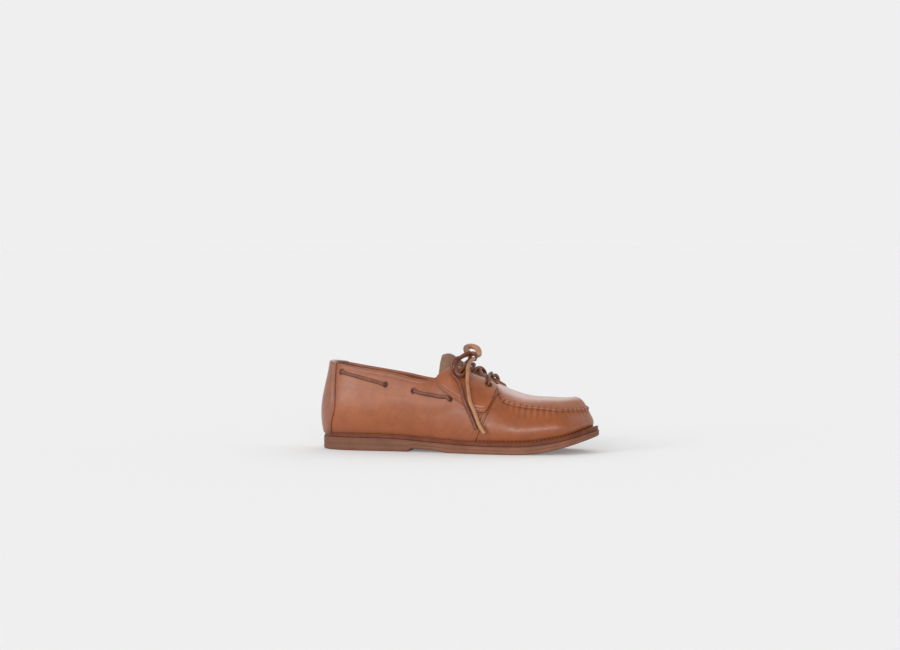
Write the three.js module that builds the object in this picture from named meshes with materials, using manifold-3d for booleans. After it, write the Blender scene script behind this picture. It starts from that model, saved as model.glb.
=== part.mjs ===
// A boat shoe for the right foot: a moccasin upper with a raised apron seam, laced through two pairs
// of eyelets, with a second run of lace along the collar, on a stitched midsole and a rubber outsole.
// Millimetres. The shoe stands on its sole: +X points to the toe, +Y to the inner side, +Z up.
import * as THREE from "three";
import { mergeVertices } from "three/addons/utils/BufferGeometryUtils.js";
import Module from "manifold-3d";

const wasm = await Module();
wasm.setup();

// Driving sizes of the sole
const LENGTH = 290; // outsole, heel to toe tip
const BALL_WIDTH = 102; // outsole across the ball
const HEEL_WIDTH = 70; // outsole across the heel
const HEEL_HEIGHT = 18; // floor to heel seat
const FORE_HEIGHT = 12.6; // floor to the top of the sole under the ball
const TOE_SPRING = 17; // floor to the underside of the toe tip
const MIDSOLE = 4.6; // thickness of the midsole at its edge
const SOLE_STEP = 0.9; // how far the outsole stands out beyond the midsole
const WELT = 3.6; // how far the outsole stands out beyond the foot of the upper
const HEEL_WELT = 2; // the same at the back of the heel
const TOE_WELT = 6.6; // the same at the toe tip
const ARCH_LIFT = 3.2; // height of the gap in front of the heel
const EDGE_ROUND = 1.6; // rounding along the foot of the outsole
const INSOLE = 2.6;

// Driving sizes of the upper
const BACK_HEIGHT = 72; // heel seat to the collar at the back
const INSTEP_HEIGHT = 70; // sole to the top corner of the facing
const SEAM_HEIGHT = 36.5; // sole to the apron seam at the ball
const APRON_HEIGHT = 45; // sole to the crown of the apron at the ball
const BULGE = 10; // unit of the wall's outward curve
const WALL = 2.2; // leather with its lining
const LAP = 1.1; // the quarters lie this much proud of the vamp
const OVERLAY = 1.4; // thickness of the facings and the back strap
const RIDGE = 1.9; // radius of the raised apron seam
const COLLAR_ROLL = 1.5; // radius of the rolled collar edge
const TONGUE = 2.4;
const TONGUE_WIDTH = 50;
const LACE = 3.6; // thickness of the rawhide lace
const EYELET_OUTER = 3.8; // radius of an eyelet's flange
const EYELET_BORE = 2.1; // radius of the hole through an eyelet
const EYELET_TUBE = 0.5; // wall of the tube that holds it in the leather
const EYELET_RISE = 0.6; // thickness of the flange
const KNOT = 3.6; // radius of the bow's knot, at the middle of the lace
const BOW = 10; // unit of the bow's routes
const GAP = 0.3; // between pieces that touch

// How finely the surfaces are divided
const PER_STATION = 3;
const WALL_ROWS = 6;
const APRON_ROWS = 6;
const STEP = 0.02; // for a surface's slopes
const FINEST = 0.055; // smallest detail kept after joining

// The loop of stations round the shoe, from the back of the heel along the outer side to the toe and
// home along the inner side. Lengths along x are shares of LENGTH. Widths are shares of half the
// heel's or the ball's width, and top heights are shares of the zone's height above the sole.
// belly and shoulder push the wall outwards low down and high up, in units of BULGE; drop is the
// share of the wall's height over which it bends in to its top edge.
const ZONES = {
  heel: { half: HEEL_WIDTH / 2, height: BACK_HEIGHT },
  instep: { half: BALL_WIDTH / 2, height: INSTEP_HEIGHT },
  toe: { half: BALL_WIDTH / 2, height: SEAM_HEIGHT },
};
const COLUMNS = ["edgeX", "edgeY", "topX", "topY", "topZ", "belly", "shoulder", "drop"];
const STATIONS = [
  ["heel", 0.0, 0.0, 0.031, 0.0, 1.0, 0.6, 0.3, 0.36], // back of the heel
  ["heel", 0.035, -0.69, 0.054, -0.5, 0.98, 0.7, 0.4, 0.36],
  ["heel", 0.131, -1.0, 0.138, -0.77, 0.93, 0.8, 0.5, 0.36],
  ["heel", 0.276, -1.04, 0.279, -0.89, 0.86, 0.8, 0.6, 0.36],
  ["heel", 0.421, -1.15, 0.41, -0.91, 0.795, 0.7, 0.9, 0.32], // low point of the collar
  ["instep", 0.512, -0.88, 0.493, -0.38, 1.02, 0.7, 1.9, 0.08], // top corner of the facing
  ["instep", 0.572, -0.95, 0.566, -0.33, 0.92, 0.8, 2.0, 0.06],
  ["instep", 0.628, -0.99, 0.641, -0.3, 0.785, 0.9, 1.9, 0.08], // foot of the throat
  ["toe", 0.679, -1.005, 0.684, -0.64, 1.14, 1.0, 0.9, 0.2],
  ["toe", 0.741, -0.99, 0.745, -0.72, 1.0, 1.1, 0.6, 0.38], // ball
  ["toe", 0.836, -0.88, 0.826, -0.68, 0.88, 1.0, 0.6, 0.38],
  ["toe", 0.938, -0.6, 0.905, -0.5, 0.7, 0.8, 0.5, 0.38],
  ["toe", 1.0, 0.09, 0.96, 0.08, 0.57, 0.25, 0.3, 0.4], // toe tip
  ["toe", 0.956, 0.69, 0.918, 0.55, 0.71, 0.8, 0.5, 0.38],
  ["toe", 0.857, 0.92, 0.842, 0.71, 0.87, 1.0, 0.6, 0.38],
  ["toe", 0.748, 0.97, 0.748, 0.72, 1.0, 1.1, 0.6, 0.38], // ball, inner side
  ["toe", 0.679, 0.94, 0.684, 0.64, 1.14, 1.0, 0.9, 0.2],
  ["instep", 0.624, 0.89, 0.641, 0.3, 0.785, 0.9, 1.9, 0.08], // foot of the throat, inner side
  ["instep", 0.566, 0.81, 0.566, 0.33, 0.92, 0.8, 2.0, 0.06],
  ["instep", 0.505, 0.71, 0.493, 0.38, 1.02, 0.7, 1.9, 0.08],
  ["heel", 0.414, 0.88, 0.41, 0.84, 0.78, 0.7, 0.9, 0.32],
  ["heel", 0.276, 0.9, 0.279, 0.8, 0.83, 0.8, 0.6, 0.36],
  ["heel", 0.131, 0.97, 0.138, 0.73, 0.915, 0.8, 0.5, 0.36],
  ["heel", 0.035, 0.69, 0.054, 0.5, 0.98, 0.7, 0.4, 0.36],
];
const COUNT = STATIONS.length;
const THROAT = { outer: 7, toe: 12, inner: 17 }; // stations at the foot of the throat and the toe tip

// The crown line of the apron from the throat to the toe: shares of LENGTH, of half the ball's width
// and of APRON_HEIGHT above the sole.
const CROWN = [
  [0.641, 0.0, 1.25],
  [0.686, 0.0, 1.13],
  [0.745, 0.0, 1.01],
  [0.822, 0.01, 0.935],
  [0.876, 0.03, 0.875],
  [0.907, 0.06, 0.85],
];
const CROWN_ROUND = 3.2; // how steeply the apron leaves its seam

// The tongue's middle line from under the apron to its tip: shares of LENGTH and of INSTEP_HEIGHT
// above the sole, then its width as a share of TONGUE_WIDTH and how far its edges fall.
const TONGUE_ROWS = [
  [0.69, 0.58, 0.68, 0.1],
  [0.664, 0.66, 0.7, 0.15],
  [0.641, 0.73, 0.74, 0.24],
  [0.605, 0.91, 0.76, 0.44],
  [0.562, 0.99, 0.78, 0.5],
  [0.51, 1.1, 0.82, 0.54],
  [0.468, 1.2, 0.8, 0.57],
  [0.438, 1.18, 0.66, 0.38],
];

// Side outlines, as shares of LENGTH and of INSTEP_HEIGHT above the floor.
const QUARTER_FRONT = [[0.664, 1.7], [0.661, 0.95], [0.657, 0.81], [0.642, 0.63], [0.624, 0.42], [0.6, 0.22], [0.585, 0.0]];
const FACING_FRONT = [[0.657, 1.7], [0.655, 0.95], [0.651, 0.81], [0.638, 0.66]];
const FACING_FOOT = [[0.625, 0.61], [0.588, 0.63], [0.547, 0.72], [0.5, 0.83], [0.463, 0.93], [0.441, 1.03], [0.43, 1.7]];
const STRAP_FRONT = [[0.062, 1.7], [0.062, 1.15], [0.067, 0.65], [0.05, 0.35], [0.05, 0.27]];

// Places on the wall: round the loop, and from the sole to the top edge. The lace runs along the
// collar in a rear and a front stretch, and its ends hang down over the outer side.
const COLLAR_REAR = [[1.52, 0.91], [2.15, 0.875], [2.86, 0.81]];
const COLLAR_FRONT = [[3.62, 0.8], [4.1, 0.71], [4.6, 0.56], [5.05, 0.455]];
const EYELETS = { upper: [5.42, 0.84], lower: [6.75, 0.87] };
const REAR_END = [
  [5.1, 0.83],
  [5.21, 0.74],
  [5.46, 0.68],
  [5.68, 0.58],
  [5.84, 0.48],
  [6.12, 0.36],
  [6.38, 0.26],
  [6.61, 0.17],
];
const FRONT_END = [[5.88, 0.73], [6.03, 0.59], [6.19, 0.46], [6.45, 0.36], [6.81, 0.22], [7.19, 0.14]];

// Places on the tongue for the lace that crosses it: from its root to its tip, and across it.
const LOWER_BAR = { wall: [6.6, 0.985], tongue: [[0.43, -0.36], [0.425, 0], [0.43, 0.36]] };
const CROSS = [[0.495, -0.55], [0.52, -0.28], [0.55, 0], [0.58, 0.28], [0.605, 0.55]];
const UPPER_BAR = { wall: [5.47, 0.985], tongue: [[0.69, -0.36], [0.675, 0], [0.69, 0.36]] };
const KNOT_PLACE = [0.655, -0.03];

// Routes of the bow's loops and of the ends' first stretches, from the knot's middle in units of BOW.
const UPPER_LOOP = [
  [-0.21, 0.48, 0.12],
  [-0.87, 0.9, 0.46],
  [-1.02, 1.5, 0.83],
  [-0.67, 1.95, 0.96],
  [-0.04, 1.85, 0.76],
  [0.32, 1.25, 0.19],
  [0.21, 0.48, 0.0],
];
const OUTER_LOOP = [
  [-0.21, -0.6, 0.23],
  [-0.78, -1.2, 0.02],
  [-1.21, -1.88, -0.39],
  [-1.13, -2.8, -1.09],
  [-0.88, -3.41, -1.57],
  [-0.58, -3.38, -1.78],
  [-0.27, -2.93, -1.73],
  [-0.03, -1.82, -1.08],
  [-0.2, -1.24, -0.52],
  [-0.22, -0.63, -0.22],
];
const REAR_START = [
  [0.21, -0.62, 0.21],
  [-0.2, -1.35, 0.45],
  [-0.85, -2.0, 0.02],
  [-1.35, -2.58, -0.2],
  [-1.62, -2.8, -0.73],
];
const FRONT_START = [
  [0.22, -0.62, -0.22],
  [0.14, -1.35, -0.36],
  [0.07, -2.45, -0.9],
  [0.14, -2.96, -1.64],
];

const mix = THREE.MathUtils.lerp;
const up = new THREE.Vector3(0, 0, 1);

// A smooth value through evenly spaced ones, at place u among them.
function smooth(values, u, closed) {
  const n = values.length;
  const whole = Math.floor(closed ? u : Math.min(Math.max(u, 0), n - 1 - 1e-9));
  const f = u - whole;
  const at = (k) => {
    if (closed) return values[((k % n) + n) % n];
    if (k < 0) return 2 * values[0] - values[1];
    if (k > n - 1) return 2 * values[n - 1] - values[n - 2];
    return values[k];
  };
  const [a, b, c, d] = [whole - 1, whole, whole + 1, whole + 2].map(at);
  return b + 0.5 * f * (c - a + f * (2 * a - 5 * b + 4 * c - d + f * (3 * (b - c) + d - a)));
}

const ramp = (x, low, high) => THREE.MathUtils.smoothstep(x, low, high);

// Height of the sole's underside over the floor, which only rises towards the toe.
function under(x) {
  const share = Math.max(0, (x / LENGTH - 0.74) / 0.26);
  return TOE_SPRING * Math.min(share, 1.1) ** 1.9;
}

// Height of the sole's top over the floor.
function seat(x) {
  const pitch = 1 - ramp(x / LENGTH, 0.2, 0.63);
  const thin = 1 - 0.14 * ramp(x / LENGTH, 0.8, 1);
  return FORE_HEIGHT * thin + (HEEL_HEIGHT - FORE_HEIGHT) * pitch + under(x);
}

// The named sizes of each station, in millimetres.
const table = Object.fromEntries(
  COLUMNS.map((name, k) => [
    name,
    STATIONS.map(([zone, ...row]) => {
      const { half, height } = ZONES[zone];
      const unit = { edgeX: LENGTH, edgeY: half, topX: LENGTH, topY: half, topZ: height };
      return row[k] * (unit[name] ?? 1);
    }),
  ]),
);
const column = (name, s) => smooth(table[name], s, true);

function edge(s) {
  return new THREE.Vector3(column("edgeX", s), column("edgeY", s), 0);
}

// The level direction away from the shoe at a place on the loop.
function outward(s) {
  const run = edge(s + STEP).sub(edge(s - STEP));
  return new THREE.Vector3(run.y, -run.x, 0).normalize();
}

// A point of the sole's outline, drawn in by some distance.
function inset(s, by) {
  return edge(s).addScaledVector(outward(s), -by);
}

// The foot of the upper, where it meets the sole.
function foot(s) {
  const back = 1 - ramp(column("edgeX", s) / LENGTH, 0.02, 0.16);
  const front = ramp(column("edgeX", s) / LENGTH, 0.9, 1);
  const p = inset(s, mix(mix(WELT, HEEL_WELT, back), TOE_WELT, front));
  return p.setZ(seat(p.x) + GAP);
}

function top(s) {
  const x = column("topX", s);
  return new THREE.Vector3(x, column("topY", s), seat(x) + column("topZ", s));
}

// The outer face of the upper's wall: s runs round the loop, t from the sole to the top edge.
function wall(s, t) {
  const [low, high, out] = [foot(s), top(s), outward(s)];
  const rise = high.z - low.z;
  const belly = low.clone().addScaledVector(out, column("belly", s) * BULGE);
  belly.z += 0.42 * rise;
  const shoulder = high.clone().addScaledVector(out, column("shoulder", s) * BULGE);
  shoulder.z -= column("drop", s) * rise;
  return new THREE.CubicBezierCurve3(low, belly, shoulder, high).getPoint(t);
}

// The apron: s as on the wall, from one foot of the throat round the toe to the other, and r from
// its seam to its crown line.
function apron(s, r) {
  const rim = top(s);
  const along = (1 - Math.abs(s - THROAT.toe) / (THROAT.toe - THROAT.outer)) * (CROWN.length - 1);
  const [x, y, z] = [0, 1, 2].map((k) => smooth(CROWN.map((row) => row[k]), along, false));
  const crown = new THREE.Vector3(x * LENGTH, (y * BALL_WIDTH) / 2, seat(x * LENGTH) + z * APRON_HEIGHT);
  const p = rim.clone().lerp(crown, r);
  return p.setZ(mix(rim.z, crown.z, 1 - Math.max(0, 1 - r) ** CROWN_ROUND));
}

// The tongue: a from its root to its tip, b from -1 at the outer edge to 1 at the inner one.
function tongue(a, b) {
  const row = TONGUE_ROWS[0].map((_, k) => smooth(TONGUE_ROWS.map((r) => r[k]), a * (TONGUE_ROWS.length - 1), false));
  const [x, z, width, fall] = row;
  const y = (b * width * TONGUE_WIDTH) / 2;
  const drop = fall * TONGUE_WIDTH * b * b;
  return new THREE.Vector3(x * LENGTH, y, seat(x * LENGTH) + z * INSTEP_HEIGHT - drop);
}

// The unit vector away from a surface, on the side given by turn.
function normal(surface, u, v, turn = 1) {
  const du = surface(u + STEP, v).sub(surface(u - STEP, v));
  const dv = surface(u, v + STEP).sub(surface(u, v - STEP));
  return du.cross(dv).normalize().multiplyScalar(turn);
}

// A surface moved off along its own normal.
function offset(surface, distance, turn = 1) {
  return (u, v) => surface(u, v).addScaledVector(normal(surface, u, v, turn), distance);
}

const range = (low, high, steps) => Array.from({ length: steps + 1 }, (_, k) => mix(low, high, k / steps));
const counting = (n) => Array.from({ length: n }, (_, k) => k);

// A closed solid from its corner points and faces.
function solid(points, faces) {
  const geometry = new THREE.BufferGeometry().setFromPoints(points).setIndex(faces.flat());
  return joined(geometry);
}

// A closed geometry as a solid for joining and cutting, turned right side out.
function joined(geometry) {
  const bare = geometry.clone();
  bare.deleteAttribute("normal");
  bare.deleteAttribute("uv");
  const merged = mergeVertices(bare, 1e-4);
  const index = merged.index.array;
  const faces = [];
  for (let k = 0; k < index.length; k += 3) {
    const [a, b, c] = [index[k], index[k + 1], index[k + 2]];
    if (a !== b && b !== c && c !== a) faces.push(a, b, c);
  }
  const make = (list) =>
    new wasm.Manifold(
      new wasm.Mesh({
        numProp: 3,
        vertProperties: new Float32Array(merged.attributes.position.array),
        triVerts: new Uint32Array(list),
      }),
    );
  const made = make(faces);
  return made.volume() > 0 ? made : make(faces.reverse());
}

const quad = (a, b, c, d) => [a, b, c, a, c, d];

// A ring-shaped solid from loops of points that follow one another round its section.
function ringSolid(loops) {
  const n = loops[0].length;
  const faces = loops.map((_, j) => {
    const [here, next] = [j * n, ((j + 1) % loops.length) * n];
    return counting(n).map((i) => quad(here + i, here + ((i + 1) % n), next + ((i + 1) % n), next + i));
  });
  return solid(loops.flat(), faces.flat());
}

// A plate between two grids of points of the same size, closed along its sides. The last column of a
// folded one meets itself.
function plateSolid(face, back, folded = false) {
  const [rows, cols] = [face.length, face[0].length];
  const points = [...face.flat(), ...back.flat()];
  const at = (side, i, j) => side * rows * cols + i * cols + j;
  const faces = [];
  for (let i = 0; i < rows - 1; i++)
    for (let j = 0; j < cols - 1; j++) {
      faces.push(quad(at(0, i, j), at(0, i, j + 1), at(0, i + 1, j + 1), at(0, i + 1, j)));
      faces.push(quad(at(1, i, j), at(1, i + 1, j), at(1, i + 1, j + 1), at(1, i, j + 1)));
    }
  for (let i = 0; i < rows - 1; i++) {
    faces.push(quad(at(0, i, 0), at(0, i + 1, 0), at(1, i + 1, 0), at(1, i, 0)));
    if (folded) continue;
    faces.push(quad(at(0, i + 1, cols - 1), at(0, i, cols - 1), at(1, i, cols - 1), at(1, i + 1, cols - 1)));
  }
  for (let j = 0; j < cols - 1; j++) {
    faces.push(quad(at(0, 0, j + 1), at(0, 0, j), at(1, 0, j), at(1, 0, j + 1)));
    faces.push(quad(at(0, rows - 1, j), at(0, rows - 1, j + 1), at(1, rows - 1, j + 1), at(1, rows - 1, j)));
  }
  return solid(points, faces);
}

// A sheet of some thickness over part of a surface.
function sheet(surface, us, vs, outer, inner, turn = 1) {
  const [face, back] = [offset(surface, outer, turn), offset(surface, inner, turn)];
  const grid = (f) => us.map((u) => vs.map((v) => f(u, v)));
  return plateSolid(grid(face), grid(back));
}

// A flat layer of the sole: loops of the outline, each with its inset and its height at a place x,
// from the lowest to the highest, closed above and below by strips across the shoe.
function layer(loops) {
  const places = range(0, COUNT, COUNT * PER_STATION).slice(0, -1);
  const rings = loops.map(({ by, height }) =>
    places.map((s) => {
      const p = inset(s, typeof by === "function" ? by(s) : by);
      return p.setZ(height(p.x));
    }),
  );
  const n = places.length;
  const faces = rings.slice(1).map((_, j) =>
    places.map((_, i) => quad(j * n + i, j * n + ((i + 1) % n), (j + 1) * n + ((i + 1) % n), (j + 1) * n + i)),
  );
  const across = (first, turned) =>
    counting(n / 2).map((i) => {
      const strip = quad(first + i, first + ((n - i) % n), first + ((n - i - 1) % n), first + i + 1);
      return turned ? strip.reverse() : strip;
    });
  return solid(rings.flat(), [...faces.flat(), ...across(0, false), ...across((rings.length - 1) * n, true)]);
}

// A side outline in x and z drawn through the shoe between two places across it.
function prism(points, fromY, toY) {
  const shape = new THREE.Shape(points.map(([x, z]) => new THREE.Vector2(x, z)));
  const geometry = new THREE.ExtrudeGeometry(shape, { depth: toY - fromY, bevelEnabled: false });
  return joined(geometry.rotateX(Math.PI / 2).translate(0, toY, 0));
}

const sized = (shares) => shares.map(([x, z]) => [x * LENGTH, z * INSTEP_HEIGHT]);

// Points along a smooth line through an outline's corners.
function rounded(corners, steps) {
  const curve = new THREE.SplineCurve(corners.map(([x, z]) => new THREE.Vector2(x, z)));
  return curve.getPoints(steps).map((p) => [p.x, p.y]);
}

// A cord through a list of points, with a many-sided section.
function cord(points, thickness, sides = 8) {
  const path = new THREE.CatmullRomCurve3(points, false, "centripetal");
  const section = new THREE.Shape(
    range(0, 2 * Math.PI, sides)
      .slice(0, -1)
      .map((a) => new THREE.Vector2(Math.cos(a), Math.sin(a)).multiplyScalar(thickness / 2)),
  );
  const steps = Math.ceil(path.getLength() / (2.6 * thickness)) + 2;
  return joined(new THREE.ExtrudeGeometry(section, { extrudePath: path, steps, bevelEnabled: false }));
}

// Pieces of the sole

function outsole() {
  const roof = (x) => seat(x) - MIDSOLE - GAP;
  const body = layer([
    { by: EDGE_ROUND * 1.6, height: under },
    { by: EDGE_ROUND * 0.5, height: (x) => under(x) + EDGE_ROUND * 0.45 },
    { by: 0, height: (x) => under(x) + EDGE_ROUND * 1.6 },
    { by: 0, height: (x) => roof(x) - 0.6 },
    { by: 0.6, height: roof },
  ]);
  const breast = 0.346 * LENGTH;
  const arch = [[breast, -1], [breast, ARCH_LIFT], [breast + 0.09 * LENGTH, ARCH_LIFT * 0.75], [0.51 * LENGTH, -1]];
  return body.subtract(prism(arch, -BALL_WIDTH, BALL_WIDTH));
}

function midsole() {
  return layer([
    { by: SOLE_STEP, height: (x) => seat(x) - MIDSOLE },
    { by: SOLE_STEP, height: (x) => seat(x) - 0.8 },
    { by: SOLE_STEP + 0.8, height: seat },
  ]);
}

function insole() {
  const clear = (s) => edge(s).distanceTo(foot(s).setZ(0)) + WALL + GAP;
  return layer([
    { by: clear, height: (x) => seat(x) + GAP },
    { by: clear, height: (x) => seat(x) + GAP + INSOLE },
  ]);
}

// Pieces of the upper

const WHOLE_LOOP = range(0, COUNT, COUNT * PER_STATION).slice(0, -1);

// The standing wall all round the shoe, between two distances from its own function.
function tray(outer, inner) {
  const heights = range(0, 1, WALL_ROWS);
  const level = (p, s, t) => (t === 0 ? p.setZ(foot(s).z + GAP / 2) : p);
  const loops = (distance) =>
    heights.map((t) => WHOLE_LOOP.map((s) => level(offset(wall, distance)(s, t), s, t)));
  return ringSolid([...loops(outer), ...loops(inner).reverse()]);
}

// A rounded strip that follows the wall's top edge.
function bead(from, to, radius) {
  const places = range(from, to, Math.round((to - from) * PER_STATION));
  const points = places.map((s) => top(s).addScaledVector(outward(s), -radius * 0.45));
  const path = new THREE.CatmullRomCurve3(points);
  const section = new THREE.Shape().absarc(0, 0, radius, 0, 2 * Math.PI);
  return joined(
    new THREE.ExtrudeGeometry(section, {
      extrudePath: path,
      steps: places.length - 1,
      curveSegments: 4,
      bevelEnabled: false,
    }),
  );
}

function upper() {
  const behind = [[-0.2 * LENGTH, -5], [-0.2 * LENGTH, 1.7 * INSTEP_HEIGHT], ...sized(QUARTER_FRONT)];
  const quarters = tray(LAP, -WALL / 2).intersect(prism(behind, -BALL_WIDTH, BALL_WIDTH));
  const places = range(THROAT.outer, THROAT.inner, (THROAT.inner - THROAT.outer) * PER_STATION);
  const across = range(-0.02, 1, APRON_ROWS);
  const layers = [0, -WALL].map((z) => places.map((s) => across.map((r) => apron(s, r).addScaledVector(up, z))));
  const cover = plateSolid(...layers, true);
  const whole = tray(0, -WALL)
    .add(quarters)
    .add(cover)
    .add(bead(THROAT.outer + 2 / 3, THROAT.inner - 2 / 3, RIDGE))
    .add(bead(THROAT.inner + 3, COUNT + THROAT.outer - 3, COLLAR_ROLL));
  return whole.decompose().sort((a, b) => b.volume() - a.volume())[0];
}

// The sheet that a facing or the strap is cut from, on the same grid as the wall that it lies on.
function overlay(from, to, row) {
  const places = counting((to - from) * PER_STATION + 1).map((k) => from + k / PER_STATION);
  const rows = counting(WALL_ROWS - row + 1).map((k) => (k + row) / WALL_ROWS);
  return sheet(wall, places, rows, LAP + GAP + OVERLAY, LAP + GAP);
}

function facing(side) {
  const outline = [...sized(FACING_FRONT), ...rounded(sized(FACING_FOOT), 12)];
  if (side === "outer") return overlay(4, 8, 2).intersect(prism(outline, -BALL_WIDTH, 0));
  return overlay(16, 20, 2).intersect(prism(outline, 0, BALL_WIDTH));
}

function backStrap() {
  const outline = sized([[-0.2, 0.27], [-0.2, 1.7], ...STRAP_FRONT]);
  return overlay(-2, 2, 0).intersect(prism(outline, -BALL_WIDTH, BALL_WIDTH));
}

function tongueFlap() {
  return sheet(tongue, range(0, 1, 14), range(-1, 1, 8), TONGUE / 2, -TONGUE / 2);
}

// The eyelets and the lace

const FACE = LAP + GAP + OVERLAY; // how far a facing's outer face lies off the wall
const otherSide = (route) => route.map(([s, t]) => [COUNT - s, t]);
const onWall = (route, lift) => route.map(([s, t]) => offset(wall, lift)(s, t));
const onTongue = (route, lift) => route.map(([a, b]) => offset(tongue, lift, -1)(a, b));
const eyeletPlaces = (side) =>
  Object.entries(EYELETS).map(([row, place]) => [`eyelet_${side}_${row}`, side === "outer" ? place : otherSide([place])[0]]);
const allEyelets = [...eyeletPlaces("outer"), ...eyeletPlaces("inner")];

// A round bar or tube at a place on the wall, from one distance off it to another.
function stud([s, t], outer, inner, from, to) {
  const shape = new THREE.Shape().absarc(0, 0, outer, 0, 2 * Math.PI);
  if (inner > 0) shape.holes.push(new THREE.Path().absarc(0, 0, inner, 0, 2 * Math.PI, true));
  const geometry = new THREE.ExtrudeGeometry(shape, { depth: to - from, curveSegments: 5, bevelEnabled: false });
  const axis = normal(wall, s, t);
  geometry.applyQuaternion(new THREE.Quaternion().setFromUnitVectors(up, axis));
  const start = wall(s, t).addScaledVector(axis, from);
  return joined(geometry.translate(start.x, start.y, start.z));
}

function eyelet(place) {
  const tube = stud(place, EYELET_BORE + EYELET_TUBE, EYELET_BORE, -WALL, FACE + GAP + EYELET_RISE / 2);
  return stud(place, EYELET_OUTER, EYELET_BORE, FACE + GAP, FACE + GAP + EYELET_RISE).add(tube);
}

// A piece with the holes that the eyelets' tubes go through.
function pierced(piece) {
  const radius = EYELET_BORE + EYELET_TUBE + GAP;
  return allEyelets.reduce((rest, [, place]) => rest.subtract(stud(place, radius, 0, -2 * WALL, 2 * FACE)), piece);
}

const LACE_LIFT = GAP + LACE / 2;
const BAR_LIFT = TONGUE / 2 + 6 * GAP + LACE / 2;

function collarStretch(route) {
  return cord(onWall(route, LAP + GAP / 2 + LACE_LIFT), LACE);
}

// A stretch of lace over the tongue between the mouths of two eyelets.
function bar(route, place) {
  const side = (turn) => [
    ...onWall(turn([place]), FACE + EYELET_RISE + 3 * GAP + LACE_LIFT),
    ...onWall(turn([route.wall]), FACE + 3 * GAP + LACE_LIFT),
  ];
  const middle = onTongue(route.tongue, BAR_LIFT);
  return cord([...side((spots) => spots), ...middle, ...side(otherSide).reverse()], LACE);
}

function cross() {
  const mirrored = CROSS.map(([a, b]) => [a, -b]);
  const [one, other] = [CROSS, mirrored].map((route) => cord(onTongue(route, TONGUE / 2 + GAP + LACE_LIFT), LACE));
  return one.add(other);
}

const [knotMiddle] = onTongue([KNOT_PLACE], BAR_LIFT + LACE - GAP + KNOT);
const fromKnot = (route) => route.map(([x, y, z]) => knotMiddle.clone().addScaledVector(new THREE.Vector3(x, y, z), BOW));

// The lace's turn round the middle of the bow.
function knot() {
  const turns = range(-0.2, 1.05, 20).map((f) => {
    const a = 2 * Math.PI * f;
    return knotMiddle.clone().add(new THREE.Vector3(KNOT * Math.sin(a), 1.12 * LACE * (f - 0.425), -KNOT * Math.cos(a)));
  });
  return cord(turns, LACE);
}

function hangingEnd(start, route) {
  return cord([...fromKnot(start), ...onWall(route, FACE + GAP + LACE_LIFT)], LACE);
}

const leather = new THREE.MeshStandardMaterial({ color: 0xae7053, roughness: 0.5, metalness: 0 });
const darkLeather = new THREE.MeshStandardMaterial({ color: 0x9a6246, roughness: 0.55, metalness: 0 });
const rubber = new THREE.MeshStandardMaterial({ color: 0x7e5546, roughness: 0.7, metalness: 0 });
const welt = new THREE.MeshStandardMaterial({ color: 0x6b3a26, roughness: 0.6, metalness: 0 });
const lining = new THREE.MeshStandardMaterial({ color: 0x8e7869, roughness: 0.8, metalness: 0 });
const rawhide = new THREE.MeshStandardMaterial({ color: 0x8a5537, roughness: 0.6, metalness: 0 });
const bronze = new THREE.MeshStandardMaterial({ color: 0x6e5136, roughness: 0.4, metalness: 1 });

const shoe = new THREE.Group();

function addPiece(name, piece, material) {
  const { numProp, vertProperties, triVerts } = piece.simplify(FINEST).getMesh();
  const position = new Float32Array((vertProperties.length / numProp) * 3);
  for (let k = 0; k < position.length / 3; k++)
    position.set(vertProperties.subarray(k * numProp, k * numProp + 3), k * 3);
  const geometry = new THREE.BufferGeometry()
    .setAttribute("position", new THREE.BufferAttribute(position, 3))
    .setIndex(new THREE.BufferAttribute(new Uint32Array(triVerts), 1));
  geometry.computeVertexNormals();
  const mesh = new THREE.Mesh(geometry, material);
  mesh.name = name;
  shoe.add(mesh);
}

addPiece("outsole", outsole(), rubber);
addPiece("midsole", midsole(), welt);
addPiece("insole", insole(), lining);
addPiece("upper", pierced(upper()), leather);
addPiece("tongue", tongueFlap(), lining);
addPiece("facing_outer", pierced(facing("outer")), leather);
addPiece("facing_inner", pierced(facing("inner")), leather);
addPiece("back_strap", backStrap(), darkLeather);
for (const [name, place] of allEyelets) addPiece(name, eyelet(place), bronze);
addPiece("collar_lace_outer_rear", collarStretch(COLLAR_REAR), rawhide);
addPiece("collar_lace_outer_front", collarStretch(COLLAR_FRONT), rawhide);
addPiece("collar_lace_inner_rear", collarStretch(otherSide(COLLAR_REAR)), rawhide);
addPiece("collar_lace_inner_front", collarStretch(otherSide(COLLAR_FRONT)), rawhide);
addPiece("lace_bar_lower", bar(LOWER_BAR, EYELETS.lower), rawhide);
addPiece("lace_bar_upper", bar(UPPER_BAR, EYELETS.upper), rawhide);
addPiece("lace_cross", cross(), rawhide);

// The origin is the middle of the shoe's bounding box at the floor, measured without the bow.
const box = new THREE.Box3().setFromObject(shoe);
const middle = box.getCenter(new THREE.Vector3()).setZ(box.min.z);

addPiece("bow_knot", knot(), rawhide);
addPiece("bow_loop_upper", cord(fromKnot(UPPER_LOOP), LACE), rawhide);
addPiece("bow_loop_outer", cord(fromKnot(OUTER_LOOP), LACE), rawhide);
addPiece("bow_end_rear", hangingEnd(REAR_START, REAR_END), rawhide);
addPiece("bow_end_front", hangingEnd(FRONT_START, FRONT_END), rawhide);

for (const piece of shoe.children) piece.geometry.translate(-middle.x, -middle.y, -middle.z);

export default shoe;
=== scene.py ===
"""The looks of a boat shoe for the right foot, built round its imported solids.

Shapes are worked out in millimetres with x from the back of the heel to the toe, y to the inner
side and z up, by the same tables and functions as the solids, and are placed in metres at the end.
"""

import math

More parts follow.
